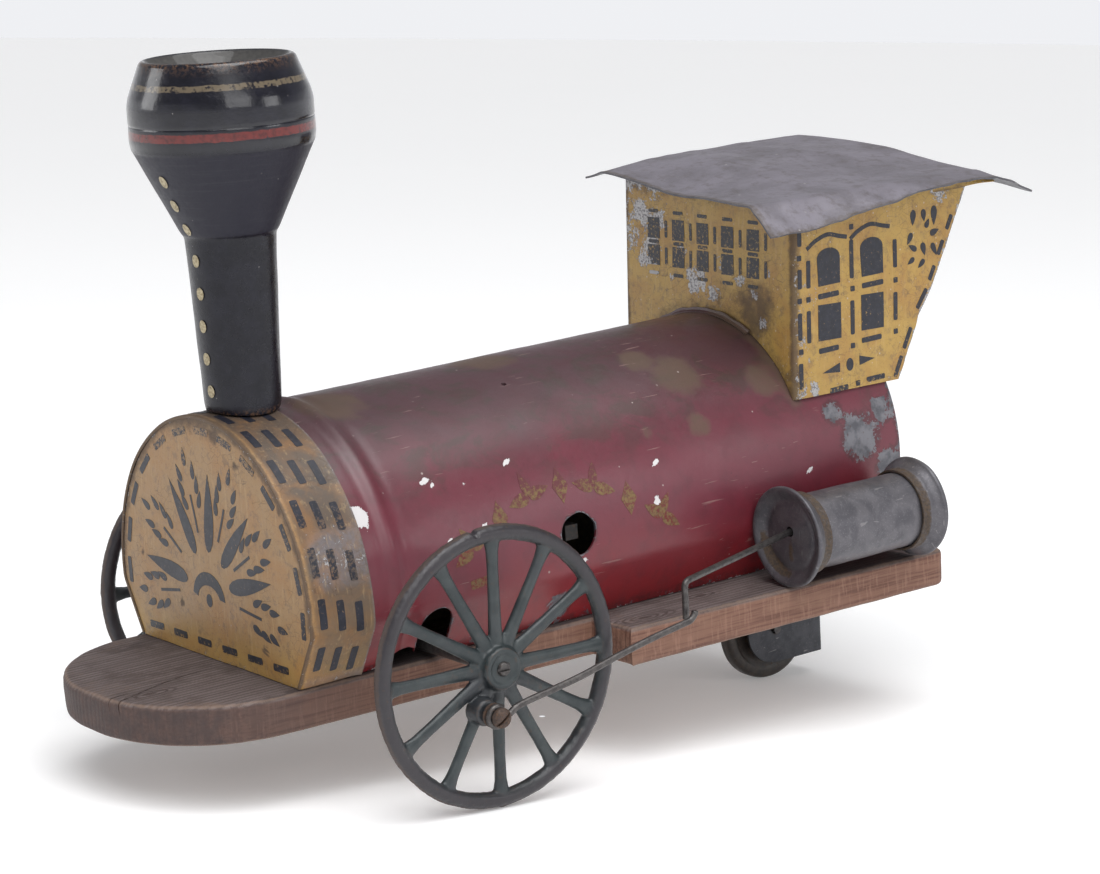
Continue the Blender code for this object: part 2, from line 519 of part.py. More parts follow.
turns, first_r, last_r, strip = 7, 4.4, 21.0, 0.5
coil = []
for i in range(turns * 22 + 1):
    a = math.tau * i / 22
    r = first_r + (last_r - first_r) * i / (turns * 22)
    coil.append((a, r))
spiral = [[(x, (r + d) * math.cos(a), (r + d) * math.sin(a)) for x, d in
           ((-12.6, 0), (-2.6, 0), (-2.6, strip), (-12.6, strip))] for a, r in coil]
link("mainspring", loft("mainspring", spiral), spring_steel, board, (0, *KEY_POINT))
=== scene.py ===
import json
import math

import bmesh
import bpy
from mathutils import Matrix, Vector, noise


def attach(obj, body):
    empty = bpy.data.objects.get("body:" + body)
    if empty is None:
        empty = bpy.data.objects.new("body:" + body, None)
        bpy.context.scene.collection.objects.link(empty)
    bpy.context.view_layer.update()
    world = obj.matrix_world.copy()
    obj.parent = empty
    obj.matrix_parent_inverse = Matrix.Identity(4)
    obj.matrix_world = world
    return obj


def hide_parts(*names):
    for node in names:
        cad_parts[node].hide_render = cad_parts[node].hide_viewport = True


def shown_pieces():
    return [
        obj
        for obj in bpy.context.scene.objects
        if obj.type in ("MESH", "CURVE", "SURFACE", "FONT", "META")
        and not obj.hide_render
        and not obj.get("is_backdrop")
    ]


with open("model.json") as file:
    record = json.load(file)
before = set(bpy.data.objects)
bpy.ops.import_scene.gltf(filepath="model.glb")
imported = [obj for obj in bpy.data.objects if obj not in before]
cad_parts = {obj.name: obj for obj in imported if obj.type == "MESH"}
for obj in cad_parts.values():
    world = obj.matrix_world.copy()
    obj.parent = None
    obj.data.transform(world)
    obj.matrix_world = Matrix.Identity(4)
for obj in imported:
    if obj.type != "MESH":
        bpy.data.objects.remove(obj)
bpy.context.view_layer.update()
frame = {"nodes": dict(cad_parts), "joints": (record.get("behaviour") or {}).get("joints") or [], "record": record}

MM = 0.001
NODES = frame["nodes"]


def train_matrix():
    """The train frame in the row frame, read from the drive axle and the board's rear end."""
    joints = {joint["name"]: joint for joint in frame["joints"]}
    mounts = {mount["name"]: mount for mount in frame["record"]["mounts"]}
    across = Vector((1, 0, 0))
    back = Vector(mounts["board_tail_end"]["axis"])
    matrix = Matrix((across, back, across.cross(back))).transposed().to_4x4()
    matrix.translation = Vector(joints["drive_axle_spin"]["pos_m"])
    return matrix


TRAIN = train_matrix()
TO_TRAIN = TRAIN.inverted()


def train_box(name):
    """(lowest, highest) corner of a CAD node in the train frame, in millimetres."""
    points = [(TO_TRAIN @ vertex.co) / MM for vertex in NODES[name].data.vertices]
    return tuple(Vector([pick(p[i] for p in points) for i in range(3)]) for pick in (min, max))


# --- sizes: read from the frame where a node gives them; the others repeat the CAD's ---
# --- or depart from it a little to follow the photo -------------------------------------
BOARD_LOW, BOARD_HIGH = train_box("base_board")
BOARD_TOP = BOARD_HIGH.z
FOOT_Z = BOARD_TOP + 0.3                  # the tin stands just clear of the board
NARROW_W, STEP_Y = 50.0, 63.5             # half-width ahead of the step, and the step
NOSE_RX, NOSE_RY = 46.0, 42.0
TIN = 0.8
SHOULDER_Z = 14.0                         # where the arch turns into the straight lower side
BAND_ARCH = (58.5, 18.0, 48.5)            # radius, centre height, half-width at the board
FRONT_ARCH = (57.2, 18.0, 47.2)
REAR_ARCH = (51.5, 28.5, 45.0)
FACE_Y, BAND_REAR = train_box("smokebox_band")[0].y, train_box("smokebox_band")[1].y
BOILER_FRONT, BOILER_REAR = train_box("boiler_shell")[0].y, train_box("boiler_shell")[1].y
BEAD_Y, BEAD_HALF, BEAD_H = -16.0, 3.0, 1.1
KEY_Y, KEY_Z, KEY_R = 57.0, 26.5, 7.0
SLOT_HALF, SLOT_TOP = 6.3, 13.5
STACK_Y, STACK_FOOT = -33.0, 76.0
CAB_W = 46.5
CAB_FRONT, CAB_TOP = 158.3, 122.2
CAB_LEAN = math.tan(math.radians(2.3))
ROOF_HALF = 58.0
CYL_X, CYL_Z = 70.6, 13.8
CYL_FRONT, CYL_REAR = 133.0, 188.5
BARREL_R, CAP_SKIRT = 13.0, 6.5
ROD_HOLE_Z = CYL_Z + 1.5                  # the rod's hole in the front lid
WHEEL_X, WHEEL_R, RIM_R, SPOKES = 84.5, 45.0, 2.6, 12
CRANK_R, CRANK_ANGLE = 14.5, math.radians(-121.5)
WIRE_R, ROD_X = 1.1, 94.2
LEG_Y, LEG_TOP, LEG_FOOT, LEG_X = 72.0, 13.5, 2.0, 89.4
REAR_AXLE_Y, REAR_AXLE_Z, REAR_BORE_R = 179.0, -40.0, 1.85
FILM_THICK, FILM_LIFT = 0.05, 0.07        # painted marks: a thin film just off its surface
WIRE_SIDES = 16


# --- small geometry helpers ---------------------------------------------------------
def at(x=0.0, y=0.0, z=0.0, turn=None):
    """Where a piece with its own origin goes; the point is in the train frame."""
    matrix = TRAIN @ Matrix.Translation(Vector((x, y, z)) * MM)
    return matrix @ turn if turn else matrix


def turn_about(axis, degrees):
    return Matrix.Rotation(math.radians(degrees), 4, axis)


def smooth(value, low, high):
    """0 below low, 1 above high, and a soft step between; it also runs downwards."""
    t = max(0.0, min(1.0, (value - low) / (high - low)))
    return t * t * (3 - 2 * t)


def ripple(point, size, depth, seed=0.0):
    """A gentle unevenness of that depth, with waves of about that size."""
    return depth * noise.noise(Vector(point) / size + Vector((seed, seed * 0.7, -seed)))


def strongest(p, spots, near, far=1.0):
    """How strong the strongest round mark is at p; a spot is x, y, z and its size."""
    return max(smooth(math.dist(p, spot[:3]), spot[3] * far, spot[3] * near) for spot in spots)


def mix(a, b, t):
    return tuple(p + (q - p) * t for p, q in zip(a, b))


def eased(points, reach, steps):
    """A line through the same points, with each inner corner turned into a short curve."""
    line = [Vector(points[0])]
    for before, corner, after in zip(points, points[1:], points[2:]):
        corner = Vector(corner)
        into, out = Vector(before) - corner, Vector(after) - corner
        start = corner + into.normalized() * min(reach, into.length * 0.45)
        end = corner + out.normalized() * min(reach, out.length * 0.45)
        for k in range(steps + 1):
            t = k / steps
            line.append(start.lerp(corner, t).lerp(corner.lerp(end, t), t))
    return line + [Vector(points[-1])]


def flowing(points, steps):
    """A Catmull-Rom curve through 3-D points."""
    points = [Vector(p) for p in points]
    ends = [points[0] * 2 - points[1]] + points + [points[-1] * 2 - points[-2]]
    line = []
    for a, b, c, d in zip(ends, ends[1:], ends[2:], ends[3:]):
        for k in range(steps):
            t = k / steps
            line.append(0.5 * (2 * b + (c - a) * t + (2 * a - 5 * b + 4 * c - d) * t ** 2
                               + (3 * b - a - 3 * c + d) * t ** 3))
    return line + [points[-1]]


def raw(name, points, faces, matrix=None):
    """An object from millimetre points, before its modifiers and paint."""
    data = bpy.data.meshes.new(name)
    data.from_pydata([Vector(p) * MM for p in points], [], faces)
    ob = bpy.data.objects.new(name, data)
    bpy.context.scene.collection.objects.link(ob)
    ob.matrix_world = matrix or TRAIN
    return ob


def modify(ob, kind, **settings):
    made = ob.modifiers.new(kind.lower(), kind)
    for key, value in settings.items():
        setattr(made, key, value)
    return ob


def thicken(ob, outside, inside, thickness):
    """Makes a surface a sheet, inward; paints come first, as the modifier numbers its faces by them."""
    ob.data.materials.append(outside)
    ob.data.materials.append(inside)
    return modify(ob, "SOLIDIFY", thickness=thickness * MM, offset=-1.0, material_offset=1,
                  material_offset_rim=1)


def apply_all(ob):
    """Leaves the modified mesh as the object's own."""
    bpy.context.view_layer.update()
    made = bpy.data.meshes.new_from_object(ob.evaluated_get(bpy.context.evaluated_depsgraph_get()))
    ob.modifiers.clear()
    old, ob.data = ob.data, made
    bpy.data.meshes.remove(old)
    return ob


def carve(ob, *tools):
    """Cuts the tools out of a piece and removes them."""
    for tool in tools:
        modify(ob, "BOOLEAN", operation="DIFFERENCE", solver="EXACT", object=tool)
    apply_all(ob)
    for tool in tools:
        bpy.data.objects.remove(tool)
    return ob


def grid(rows, closed=False):
    """(points, faces) of a sheet through rows of points, facing (row step) x (column step)."""
    width = len(rows[0])
    points = [p for row in rows for p in row]
    faces = []
    for i in range(len(rows) - 1):
        for j in range(width if closed else width - 1):
            k = (j + 1) % width
            faces.append((i * width + j, (i + 1) * width + j, (i + 1) * width + k, i * width + k))
    return points, faces


def solid(rows):
    """(points, faces) of a closed body through closed rings, with flat ends."""
    points, faces = grid(rows, closed=True)
    width = len(rows[0])
    return points, faces + [tuple(range(width)), tuple(range(len(points) - width, len(points)))]


def reworked(ob, change):
    """The object, after a bmesh change to its mesh."""
    bm = bmesh.new()
    bm.from_mesh(ob.data)
    change(bm)
    bm.to_mesh(ob.data)
    bm.free()
    return ob


def outward(ob):
    """Turns a closed mesh's faces outward."""
    return reworked(ob, lambda bm: bmesh.ops.recalc_face_normals(bm, faces=bm.faces))


def welded(ob):
    """Joins the points that lie on each other."""
    return reworked(ob, lambda bm: bmesh.ops.remove_doubles(bm, verts=bm.verts, dist=0.001 * MM))


def prism(name, outline, axis, low, high, matrix=None):
    """A flat outline extruded along one axis of its own frame."""
    put = {"x": lambda a, b, t: (t, a, b), "y": lambda a, b, t: (a, t, b),
           "z": lambda a, b, t: (a, b, t)}[axis]
    return outward(raw(name, *solid([[put(a, b, t) for a, b in outline] for t in (low, high)]), matrix))


def circle(radius, count, centre=(0.0, 0.0)):
    return [(centre[0] + radius * math.cos(math.tau * i / count),
             centre[1] + radius * math.sin(math.tau * i / count)) for i in range(count)]


def lathe(name, profile, matrix, count, wobble):
    """A turned body about its own z from an (r, z) line; one that closes on itself is a ring."""
    closed = (Vector(profile[0]) - Vector(profile[-1])).length < 1e-6
    rings = []
    for r, z in (profile[:-1] if closed else profile):
        ring = []
        for i in range(count):
            a = math.tau * i / count
            out = max(r, 0.02)
            out += wobble * noise.noise(Vector((math.cos(a) * 2, math.sin(a) * 2, z / 9))) * min(1, r)
            ring.append((out * math.cos(a), out * math.sin(a), z))
        rings.append(ring)
    if closed:
        return outward(welded(raw(name, *grid(rings + [rings[0]], closed=True), matrix)))
    return outward(raw(name, *solid(rings), matrix))


def tube(name, line, radius):
    """A round wire along a line, with domed ends."""
    line = [Vector(p) for p in line]
    side = (line[1] - line[0]).normalized().orthogonal().normalized()
    rings = []
    for i, point in enumerate(line):
        ahead = line[min(i + 1, len(line) - 1)] - line[max(i - 1, 0)]
        ahead.normalize()
        side = (side - ahead * side.dot(ahead)).normalized()
        up = ahead.cross(side)

        def ring(centre, r):
            return [centre + (side * math.cos(a) + up * math.sin(a)) * r
                    for a in (math.tau * k / WIRE_SIDES for k in range(WIRE_SIDES))]
        if i == 0:
            rings += [ring(point - ahead * radius * 0.35, radius * 0.45),
                      ring(point - ahead * radius * 0.25, radius * 0.8)]
        rings.append(ring(point, radius))
        if i == len(line) - 1:
            rings += [ring(point + ahead * radius * 0.25, radius * 0.8),
                      ring(point + ahead * radius * 0.35, radius * 0.45)]
    return outward(raw(name, *solid(rings)))


def tell(ob, label, measure):
    """Stores a number, or measure(point in the train frame), on every vertex for the material."""
    to_mm = Matrix.Scale(1 / MM, 4) @ TO_TRAIN @ ob.matrix_world
    values = [measure(to_mm @ vertex.co) if callable(measure) else measure for vertex in ob.data.vertices]
    held = ob.data.attributes.new(label, "FLOAT", "POINT")
    held.data.foreach_set("value", values)
    return ob


def show(ob, paints, body, nodes=(), crease=38):
    """Paints a finished piece, gives it its body, and hides the CAD nodes it stands for."""
    paints = paints if isinstance(paints, (list, tuple)) else [paints]
    if list(ob.data.materials) != list(paints):
        ob.data.materials.clear()
        for paint in paints:
            ob.data.materials.append(paint)
    ob.data.shade_smooth()
    ob.data.set_sharp_from_angle(angle=math.radians(crease))
    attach(ob, body)
    if nodes:
        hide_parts(*nodes)
    return ob


# --- the arch that the boiler and the smokebox share ---------------------------------
def arch_sizes(section):
    radius, centre, foot = section
    start = math.asin((SHOULDER_Z - centre) / radius)
    shoulder = Vector((radius * math.cos(start), SHOULDER_Z))
    foot = Vector((foot, FOOT_Z))
    side = (shoulder - foot).length
    return foot, shoulder, start, side, radius * (math.pi - 2 * start)


def arch_length(section):
    sizes = arch_sizes(section)
    return 2 * sizes[3] + sizes[4]


def on_arch(section, run, lift=0.0):
    """(x, z) at a distance along the arch from its left foot, lifted off the surface."""
    foot, shoulder, start, side, over = arch_sizes(section)
    if run > side + over / 2:
        x, z = on_arch(section, 2 * side + over - run, lift)
        return -x, z
    if run < side:
        way = (shoulder - foot).normalized()
        point, out = foot + way * run, Vector((way.y, -way.x))
    else:
        angle = start + (run - side) / section[0]
        out = Vector((math.cos(angle), math.sin(angle)))
        point = Vector((0, section[1])) + out * section[0]
    point += out * lift
    return point.x, point.y


def boiler_section(y):
    return mix(FRONT_ARCH, REAR_ARCH, (y - BOILER_FRONT) / (BOILER_REAR - BOILER_FRONT))


# --- materials ----------------------------------------------------------------------
class Graph:
    """One procedural material. Lengths are in millimetres of the piece's own frame."""

    def __init__(self, name, metallic=0.0, **shader):
        self.material = bpy.data.materials.new(name)
        self.material.use_nodes = True
        self.tree = self.material.node_tree
        self.shader = self.tree.nodes["Principled BSDF"]
        self.shader.inputs["Metallic"].default_value = metallic
        for key, value in shader.items():
            self.shader.inputs[key.replace("_", " ")].default_value = value
        self.place = self.add("TexCoord", output="Object")

    def add(self, kind, inputs=(), output=0, **settings):
        node = self.tree.nodes.new("ShaderNode" + kind)
        for key, value in settings.items():
            setattr(node, key, value)
        for key, value in dict(inputs).items():
            if isinstance(value, bpy.types.NodeSocket):
                self.tree.links.new(value, node.inputs[key])
            else:
                node.inputs[key].default_value = value
        return node.outputs[output]

    def stretched(self, x=1.0, y=1.0, z=1.0, shift=0.0):
        """Coordinates drawn out along an axis by those factors."""
        return self.add("Mapping", {"Vector": self.place, "Scale": (1 / x, 1 / y, 1 / z),
                                    "Location": (shift, shift, shift)})

    def noise(self, size, detail=3.0, rough=0.55, bend=0.0, where=None):
        return self.add("TexNoise", {"Vector": where or self.place, "Scale": 1 / (size * MM),
                                     "Detail": detail, "Roughness": rough, "Distortion": bend})

    def cells(self, size, feature="F1", where=None):
        return self.add("TexVoronoi", {"Vector": where or self.place, "Scale": 1 / (size * MM)},
                        feature=feature)

    def axis(self, name):
        split = self.add("SeparateXYZ", {"Vector": self.place}, output=name)
        return self.math("MULTIPLY", split, 1 / MM)

    def told(self, label):
        return self.add("Attribute", output="Fac", attribute_name=label)

    def ramp(self, value, low, high):
        """0 at low, 1 at high, soft between."""
        return self.add("MapRange", {"Value": value, "From Min": low, "From Max": high},
                        interpolation_type="SMOOTHSTEP")

    def span(self, value, low, high):
        """0..1 spread over low..high."""
        return self.add("MapRange", {"Value": value, "To Min": low, "To Max": high})

    def math(self, operation, a, b=0.0, clamp=False):
        return self.add("Math", {0: a, 1: b}, operation=operation, use_clamp=clamp)

    def both(self, a, b):
        return self.math("MULTIPLY", a, b)

    def either(self, *masks):
        result = masks[0]
        for mask in masks[1:]:
            result = self.math("MAXIMUM", result, mask)
        return result

    def mix(self, factor, a, b):
        a, b = [(*v, 1.0) if isinstance(v, tuple) else v for v in (a, b)]
        return self.add("Mix", {0: factor, 6: a, 7: b}, output=2, data_type="RGBA")

    def value(self, factor, a, b):
        return self.add("Mix", {0: factor, 2: a, 3: b}, output=0, data_type="FLOAT")

    def swing(self, amount, *noise):
        """Noise that swings as far below zero as above it."""
        return self.both(self.math("SUBTRACT", self.noise(*noise), 0.5), amount)

    def frayed(self, label, low, high, amount, *noise):
        """A mask told to the piece, with a soft and uneven edge."""
        return self.ramp(self.math("ADD", self.told(label), self.swing(amount, *noise)), low, high)

    def ragged(self, mask, size=0.9, edge=0.5, amount=0.55):
        """Gives a soft mask a broken, chipped edge, with islands of every size round it."""
        fine = self.swing(amount * 1.1, size, 4, 0.6)
        coarse = self.swing(amount * 2.6, size * 6, 7, 0.72, 0.4)
        broken = self.math("ADD", mask, self.math("ADD", fine, coarse))
        return self.ramp(broken, edge - 0.03, edge + 0.03)

    def set(self, colour=None, roughness=None, metallic=None, heights=(), coat=None):
        """heights: (mask, millimetres) pairs that add up to the bump."""
        for key, value in (("Base Color", colour), ("Roughness", roughness), ("Metallic", metallic),
                           ("Coat Weight", coat)):
            if isinstance(value, bpy.types.NodeSocket):
                self.tree.links.new(value, self.shader.inputs[key])
            elif value is not None:
                self.shader.inputs[key].default_value = (*value, 1.0) if isinstance(value, tuple) else value
        total = None
        for mask, height in heights:
            step = self.math("MULTIPLY", mask, height * MM)
            total = step if total is None else self.math("ADD", total, step)
        if total is not None:
            bump = self.add("Bump", {"Height": total, "Strength": 1.0, "Distance": 1.0}, output="Normal")
            self.tree.links.new(bump, self.shader.inputs["Normal"])
        return self.material


BARE = (0.185, 0.182, 0.200)                 # tin where the paint has gone
RUST = (0.075, 0.033, 0.016)


def bare_tin_colour(g):
    """Dull grey tin with darker blooms and a little rust."""
    bloom = g.ramp(g.noise(5, 4, 0.6), 0.38, 0.66)
    grey = g.mix(bloom, BARE, (0.085, 0.085, 0.098))
    return g.mix(g.ramp(g.noise(2.2, 5, 0.7), 0.60, 0.72), grey, RUST)


def boiler_red():
    """Maroon tin paint: vivid low down, dulled brown on top, with flecks, stains and bare tin; its stain mask also
    carries painted shade on the saddle lip.
    """
    g = Graph("boiler_red_paint", Coat_Roughness=0.22, Specular_IOR_Level=0.55)
    z = g.axis("Z")
    cloud = g.noise(34, 5, 0.6, 0.4)
    grain = g.noise(0.42, 3, 0.6)
    low = g.ramp(g.math("ADD", z, g.both(cloud, 22.0)), 46, 8)
    high = g.ramp(g.math("ADD", z, g.both(cloud, 34.0)), 58, 92)
    red = g.mix(low, (0.128, 0.020, 0.034), (0.205, 0.0085, 0.0130))
    red = g.mix(g.both(high, 0.86), red, (0.056, 0.031, 0.036))
    mottle = g.both(g.ramp(g.noise(11, 8, 0.70, 0.6, g.stretched(1, 1.6, 1, 0.05)), 0.47, 0.62),
                    g.ramp(z, 36, 66))
    red = g.mix(g.both(mottle, 0.62), red, (0.040, 0.031, 0.024))
    red = g.mix(g.both(g.ramp(g.noise(9, 6, 0.65), 0.44, 0.70), 0.35), red, (0.066, 0.016, 0.022))
    # The told stain browns the paint; on the saddle lip it is partly painted shade.
    soot_and_shade = g.frayed("stain_and_shade", 0.35, 0.75, 0.7, 6, 5, 0.65)
    red = g.mix(g.both(soot_and_shade, 0.75), red, (0.085, 0.052, 0.032))
    flecks = g.both(g.ramp(g.noise(0.55, 2, 0.5), 0.66, 0.73), g.ramp(g.noise(19, 3), 0.42, 0.62))
    red = g.mix(g.both(flecks, 0.55), red, (0.020, 0.008, 0.010))
    pale = g.both(g.ramp(g.cells(6.5), 0.075, 0.05), g.ramp(g.noise(15, 2, 0.5), 0.55, 0.62))
    red = g.mix(g.both(pale, 0.8), red, (0.36, 0.30, 0.28))
    scratch = g.both(g.ramp(g.noise(1.0, 2, 0.5, 0.6, g.stretched(1, 14, 1)), 0.685, 0.71),
                     g.ramp(g.noise(23, 2), 0.5, 0.6))
    red = g.mix(g.both(scratch, 0.45), red, (0.30, 0.19, 0.17))
    worn = g.ragged(g.told("wear"), 1.1)
    rim = g.frayed("wear", 0.25, 0.5, 0.6, 1.6, 4)
    red = g.mix(g.both(rim, 0.55), red, (0.040, 0.010, 0.012))
    white = g.ragged(g.told("chip"), 0.8)
    colour = g.mix(white, g.mix(worn, red, bare_tin_colour(g)), (0.62, 0.60, 0.60))
    rough = g.value(soot_and_shade, g.span(g.noise(2.5, 4), 0.30, 0.50), 0.62)
    rough = g.value(worn, rough, 0.50)
    return g.set(colour, rough, g.value(worn, 0.0, 0.5), heights=[
        (grain, 0.030), (g.noise(2.4, 3), 0.05), (worn, -0.07), (white, -0.08), (scratch, -0.03)],
        coat=0.12)


OCHRE_DEEP, GRIME = (0.29, 0.130, 0.030), (0.115, 0.075, 0.048)


def ochre_colour(g):
    """Yellow tin paint: browner on the smokebox than on the cab. Returns colour and masks."""
    cab = g.ramp(g.axis("Y"), 60, 120)
    band = g.both(g.ramp(g.axis("Y"), -49.2, -47.0), g.ramp(g.axis("Y"), 60, 20))
    low = g.ramp(g.axis("Z"), 12, -2)
    base = g.mix(cab, (0.292, 0.174, 0.072), (0.400, 0.250, 0.058))
    base = g.mix(g.both(g.both(low, 0.7), g.math("SUBTRACT", 1.0, cab)), base, (0.40, 0.240, 0.055))
    darker = g.both(band, g.span(g.ramp(g.axis("Z"), 2, 34), 0.55, 0.96))
    base = g.mix(darker, base, (0.082, 0.060, 0.045))
    # A silvery grey where the band's wear is told: bare tin along its worn edges, and a painted highlight on the
    # flank's mid-height patch.
    painted_sheen_and_bare_tin = g.both(band, g.ramp(g.told("wear"), 0.10, 0.30))
    base = g.mix(g.both(painted_sheen_and_bare_tin, g.span(g.noise(1.2, 4, 0.6), 0.15, 0.95)), base, (0.165, 0.150, 0.165))
    base = g.mix(g.both(g.ramp(g.noise(13, 6, 0.62, 0.5), 0.40, 0.68), 0.50), base, OCHRE_DEEP)
    base = g.mix(g.both(g.ramp(g.noise(3.2, 6, 0.72), 0.50, 0.66), 0.50), base, GRIME)
    freckles = g.ramp(g.noise(0.75, 3, 0.6), 0.60, 0.70)
    base = g.mix(g.both(freckles, 0.5), base, (0.13, 0.065, 0.025))
    streak = g.ramp(g.noise(1.3, 4, 0.6, 0.2, g.stretched(1, 1, 9)), 0.56, 0.68)
    base = g.mix(g.both(streak, 0.22), base, (0.52, 0.36, 0.17))
    crumbs = g.both(g.ramp(g.cells(2.3), 0.17, 0.11), g.ramp(g.noise(7, 4, 0.6), 0.50, 0.60))
    base = g.mix(g.both(crumbs, g.both(cab, 0.75)), base, (0.46, 0.40, 0.33))
    crack = g.ramp(g.cells(3.4, "DISTANCE_TO_EDGE", g.stretched(1, 1, 0.8)), 0.030, 0.0)
    crack = g.both(crack, g.ramp(g.noise(11, 3), 0.42, 0.60))
    base = g.mix(g.both(crack, 0.55), base, (0.075, 0.040, 0.020))
    # The told stain darkens the paint: soot and grime, and on the cab mostly painted shade under the eave and in
    # the corner over the boiler.
    soot_and_shade = g.frayed("stain_and_shade", 0.30, 0.80, 0.9, 4, 6, 0.7)
    base = g.mix(g.both(soot_and_shade, 0.82), base, (0.062, 0.040, 0.028))
    worn = g.ragged(g.told("wear"), 0.9, amount=0.6)
    flakes = g.both(g.ramp(g.noise(1.3, 5, 0.7), 0.655, 0.675),
                    g.ramp(g.math("ADD", g.told("wear"), g.noise(17, 3)), 0.45, 0.75))
    return base, crack, soot_and_shade, g.either(worn, flakes)


def ochre_paint():
    g = Graph("ochre_tin_paint", Coat_Roughness=0.3)
    base, crack, soot_and_shade, worn = ochre_colour(g)
    colour = g.mix(worn, base, g.mix(g.ramp(g.noise(0.8, 3), 0.45, 0.60), (0.40, 0.39, 0.39),
                                     (0.17, 0.16, 0.17)))
    rough = g.value(soot_and_shade, g.span(g.noise(2.0, 5), 0.34, 0.62), 0.70)
    return g.set(colour, rough, g.value(worn, 0.0, 0.45), heights=[
        (g.noise(0.5, 3), 0.035), (g.noise(2.6, 4), 0.06), (crack, -0.05), (worn, -0.08)], coat=0.10)


def stencil_ink():
    """Slate-blue stencilled marks, rubbed through to the ochre."""
    g = Graph("slate_stencil_paint")
    base, crack = ochre_colour(g)[:2]
    ink = g.mix(g.ramp(g.noise(2.2, 5, 0.65), 0.36, 0.64), (0.008, 0.009, 0.016), (0.015, 0.016, 0.027))
    rubbed = g.ramp(g.math("ADD", g.noise(1.1, 5, 0.7), g.both(g.told("fade"), 0.34)), 0.64, 0.74)
    colour = g.mix(g.both(rubbed, 0.8), ink, base)
    colour = g.mix(g.both(crack, 0.4), colour, (0.04, 0.03, 0.02))
    worn = g.ragged(g.told("wear"), 1.0, edge=0.62)
    colour = g.mix(worn, colour, (0.30, 0.295, 0.30))
    return g.set(colour, g.span(g.noise(2.0, 4), 0.34, 0.55), g.value(worn, 0.0, 0.4),
                 heights=[(g.noise(0.5, 3), 0.03)])


def gold_leaf_paint():
    """Dull bronze-powder paint, nearly rubbed away on the boiler."""
    g = Graph("faded_gold_paint", metallic=0.25)
    z = g.axis("Z")
    gold = g.mix(g.ramp(g.noise(1.2, 5, 0.7), 0.4, 0.65), (0.185, 0.118, 0.046), (0.120, 0.062, 0.034))
    under = g.mix(g.ramp(z, 46, 20), (0.115, 0.030, 0.036), (0.150, 0.014, 0.018))
    rubbed = g.ramp(g.math("ADD", g.noise(1.5, 5, 0.7), g.both(g.told("fade"), 0.4)), 0.60, 0.76)
    return g.set(g.mix(rubbed, gold, under), 0.5, heights=[(g.noise(0.5, 3), 0.03)])


def gold_dots():
    g = Graph("gold_dot_paint", metallic=0.45)
    gold = g.mix(g.ramp(g.noise(0.9, 4, 0.7), 0.42, 0.62), (0.42, 0.36, 0.235), (0.24, 0.19, 0.11))
    gold = g.mix(g.ramp(g.noise(0.7, 4, 0.7, 0, g.stretched(shift=0.3)), 0.60, 0.66), gold,
                 (0.02, 0.02, 0.022))
    return g.set(gold, 0.42, heights=[(g.noise(0.35, 3), 0.04)])


def black_wood(band_low, band_high, line_low, line_high):
    """Lacquered turned wood; heights are the stack's own, from its foot."""
    g = Graph("black_lacquered_wood", Coat_Roughness=0.08, Specular_IOR_Level=0.36)
    z = g.axis("Z")
    bowl = g.ramp(z, 84, 87)
    cone = g.both(g.ramp(z, 57.2, 58.4), g.ramp(z, 86, 84))
    base = g.mix(g.ramp(g.noise(7, 5, 0.6), 0.38, 0.68), (0.0040, 0.0040, 0.0085), (0.0090, 0.0090, 0.0160))
    base = g.mix(g.both(cone, 0.85), base, (0.0165, 0.0160, 0.0270))
    lines = g.noise(0.9, 3, 0.6, 0.0, g.stretched(30, 30, 1))
    base = g.mix(g.both(g.ramp(lines, 0.52, 0.70), g.both(cone, 0.30)), base, (0.036, 0.035, 0.044))
    dust = g.both(g.ramp(g.noise(1.6, 6, 0.72), 0.58, 0.74), 0.32)
    base = g.mix(dust, base, (0.040, 0.038, 0.042))
    speck = g.both(g.ramp(g.cells(4.6), 0.060, 0.035), g.ramp(g.noise(9, 2), 0.48, 0.56))
    base = g.mix(g.both(speck, 0.7), base, (0.30, 0.28, 0.27))
    wobble = g.swing(0.9, 2.6, 3)
    level = g.math("ADD", z, wobble)

    def stripe(low, high):
        return g.both(g.ramp(level, low - 0.15, low + 0.15), g.ramp(level, high + 0.15, high - 0.15))
    broken = g.ramp(g.noise(1.7, 5, 0.7), 0.62, 0.50)
    red = g.both(stripe(band_low, band_high), g.ramp(g.noise(1.1, 4, 0.7), 0.72, 0.62))
    gold = g.both(g.both(stripe(line_low, line_high), broken), 0.75)
    base = g.mix(red, base, g.mix(g.ramp(g.noise(1.6, 4), 0.4, 0.7), (0.135, 0.018, 0.016),
                                  (0.070, 0.012, 0.012)))
    base = g.mix(gold, base, (0.165, 0.130, 0.085))
    rub = g.both(g.told("wear"), g.ramp(g.noise(1.2, 5, 0.7), 0.45, 0.60))
    base = g.mix(g.both(rub, 0.8), base, (0.16, 0.085, 0.045))
    rough = g.value(bowl, g.value(cone, 0.27, 0.46), 0.17)
    rough = g.math("ADD", rough, g.both(g.math("SUBTRACT", g.noise(2.2, 5, 0.7), 0.42), 0.40), clamp=True)
    rough = g.value(g.told("inside"), rough, 0.75)
    base = g.mix(g.told("inside"), base, g.mix(g.noise(1.5, 5), (0.020, 0.020, 0.020),
                                               (0.085, 0.080, 0.075)))
    lumps = g.noise(1.9, 4, 0.6)
    return g.set(base, rough, heights=[(lumps, 0.10), (g.noise(0.5, 3), 0.018), (lines, 0.020)],
                 coat=g.both(bowl, 0.5))


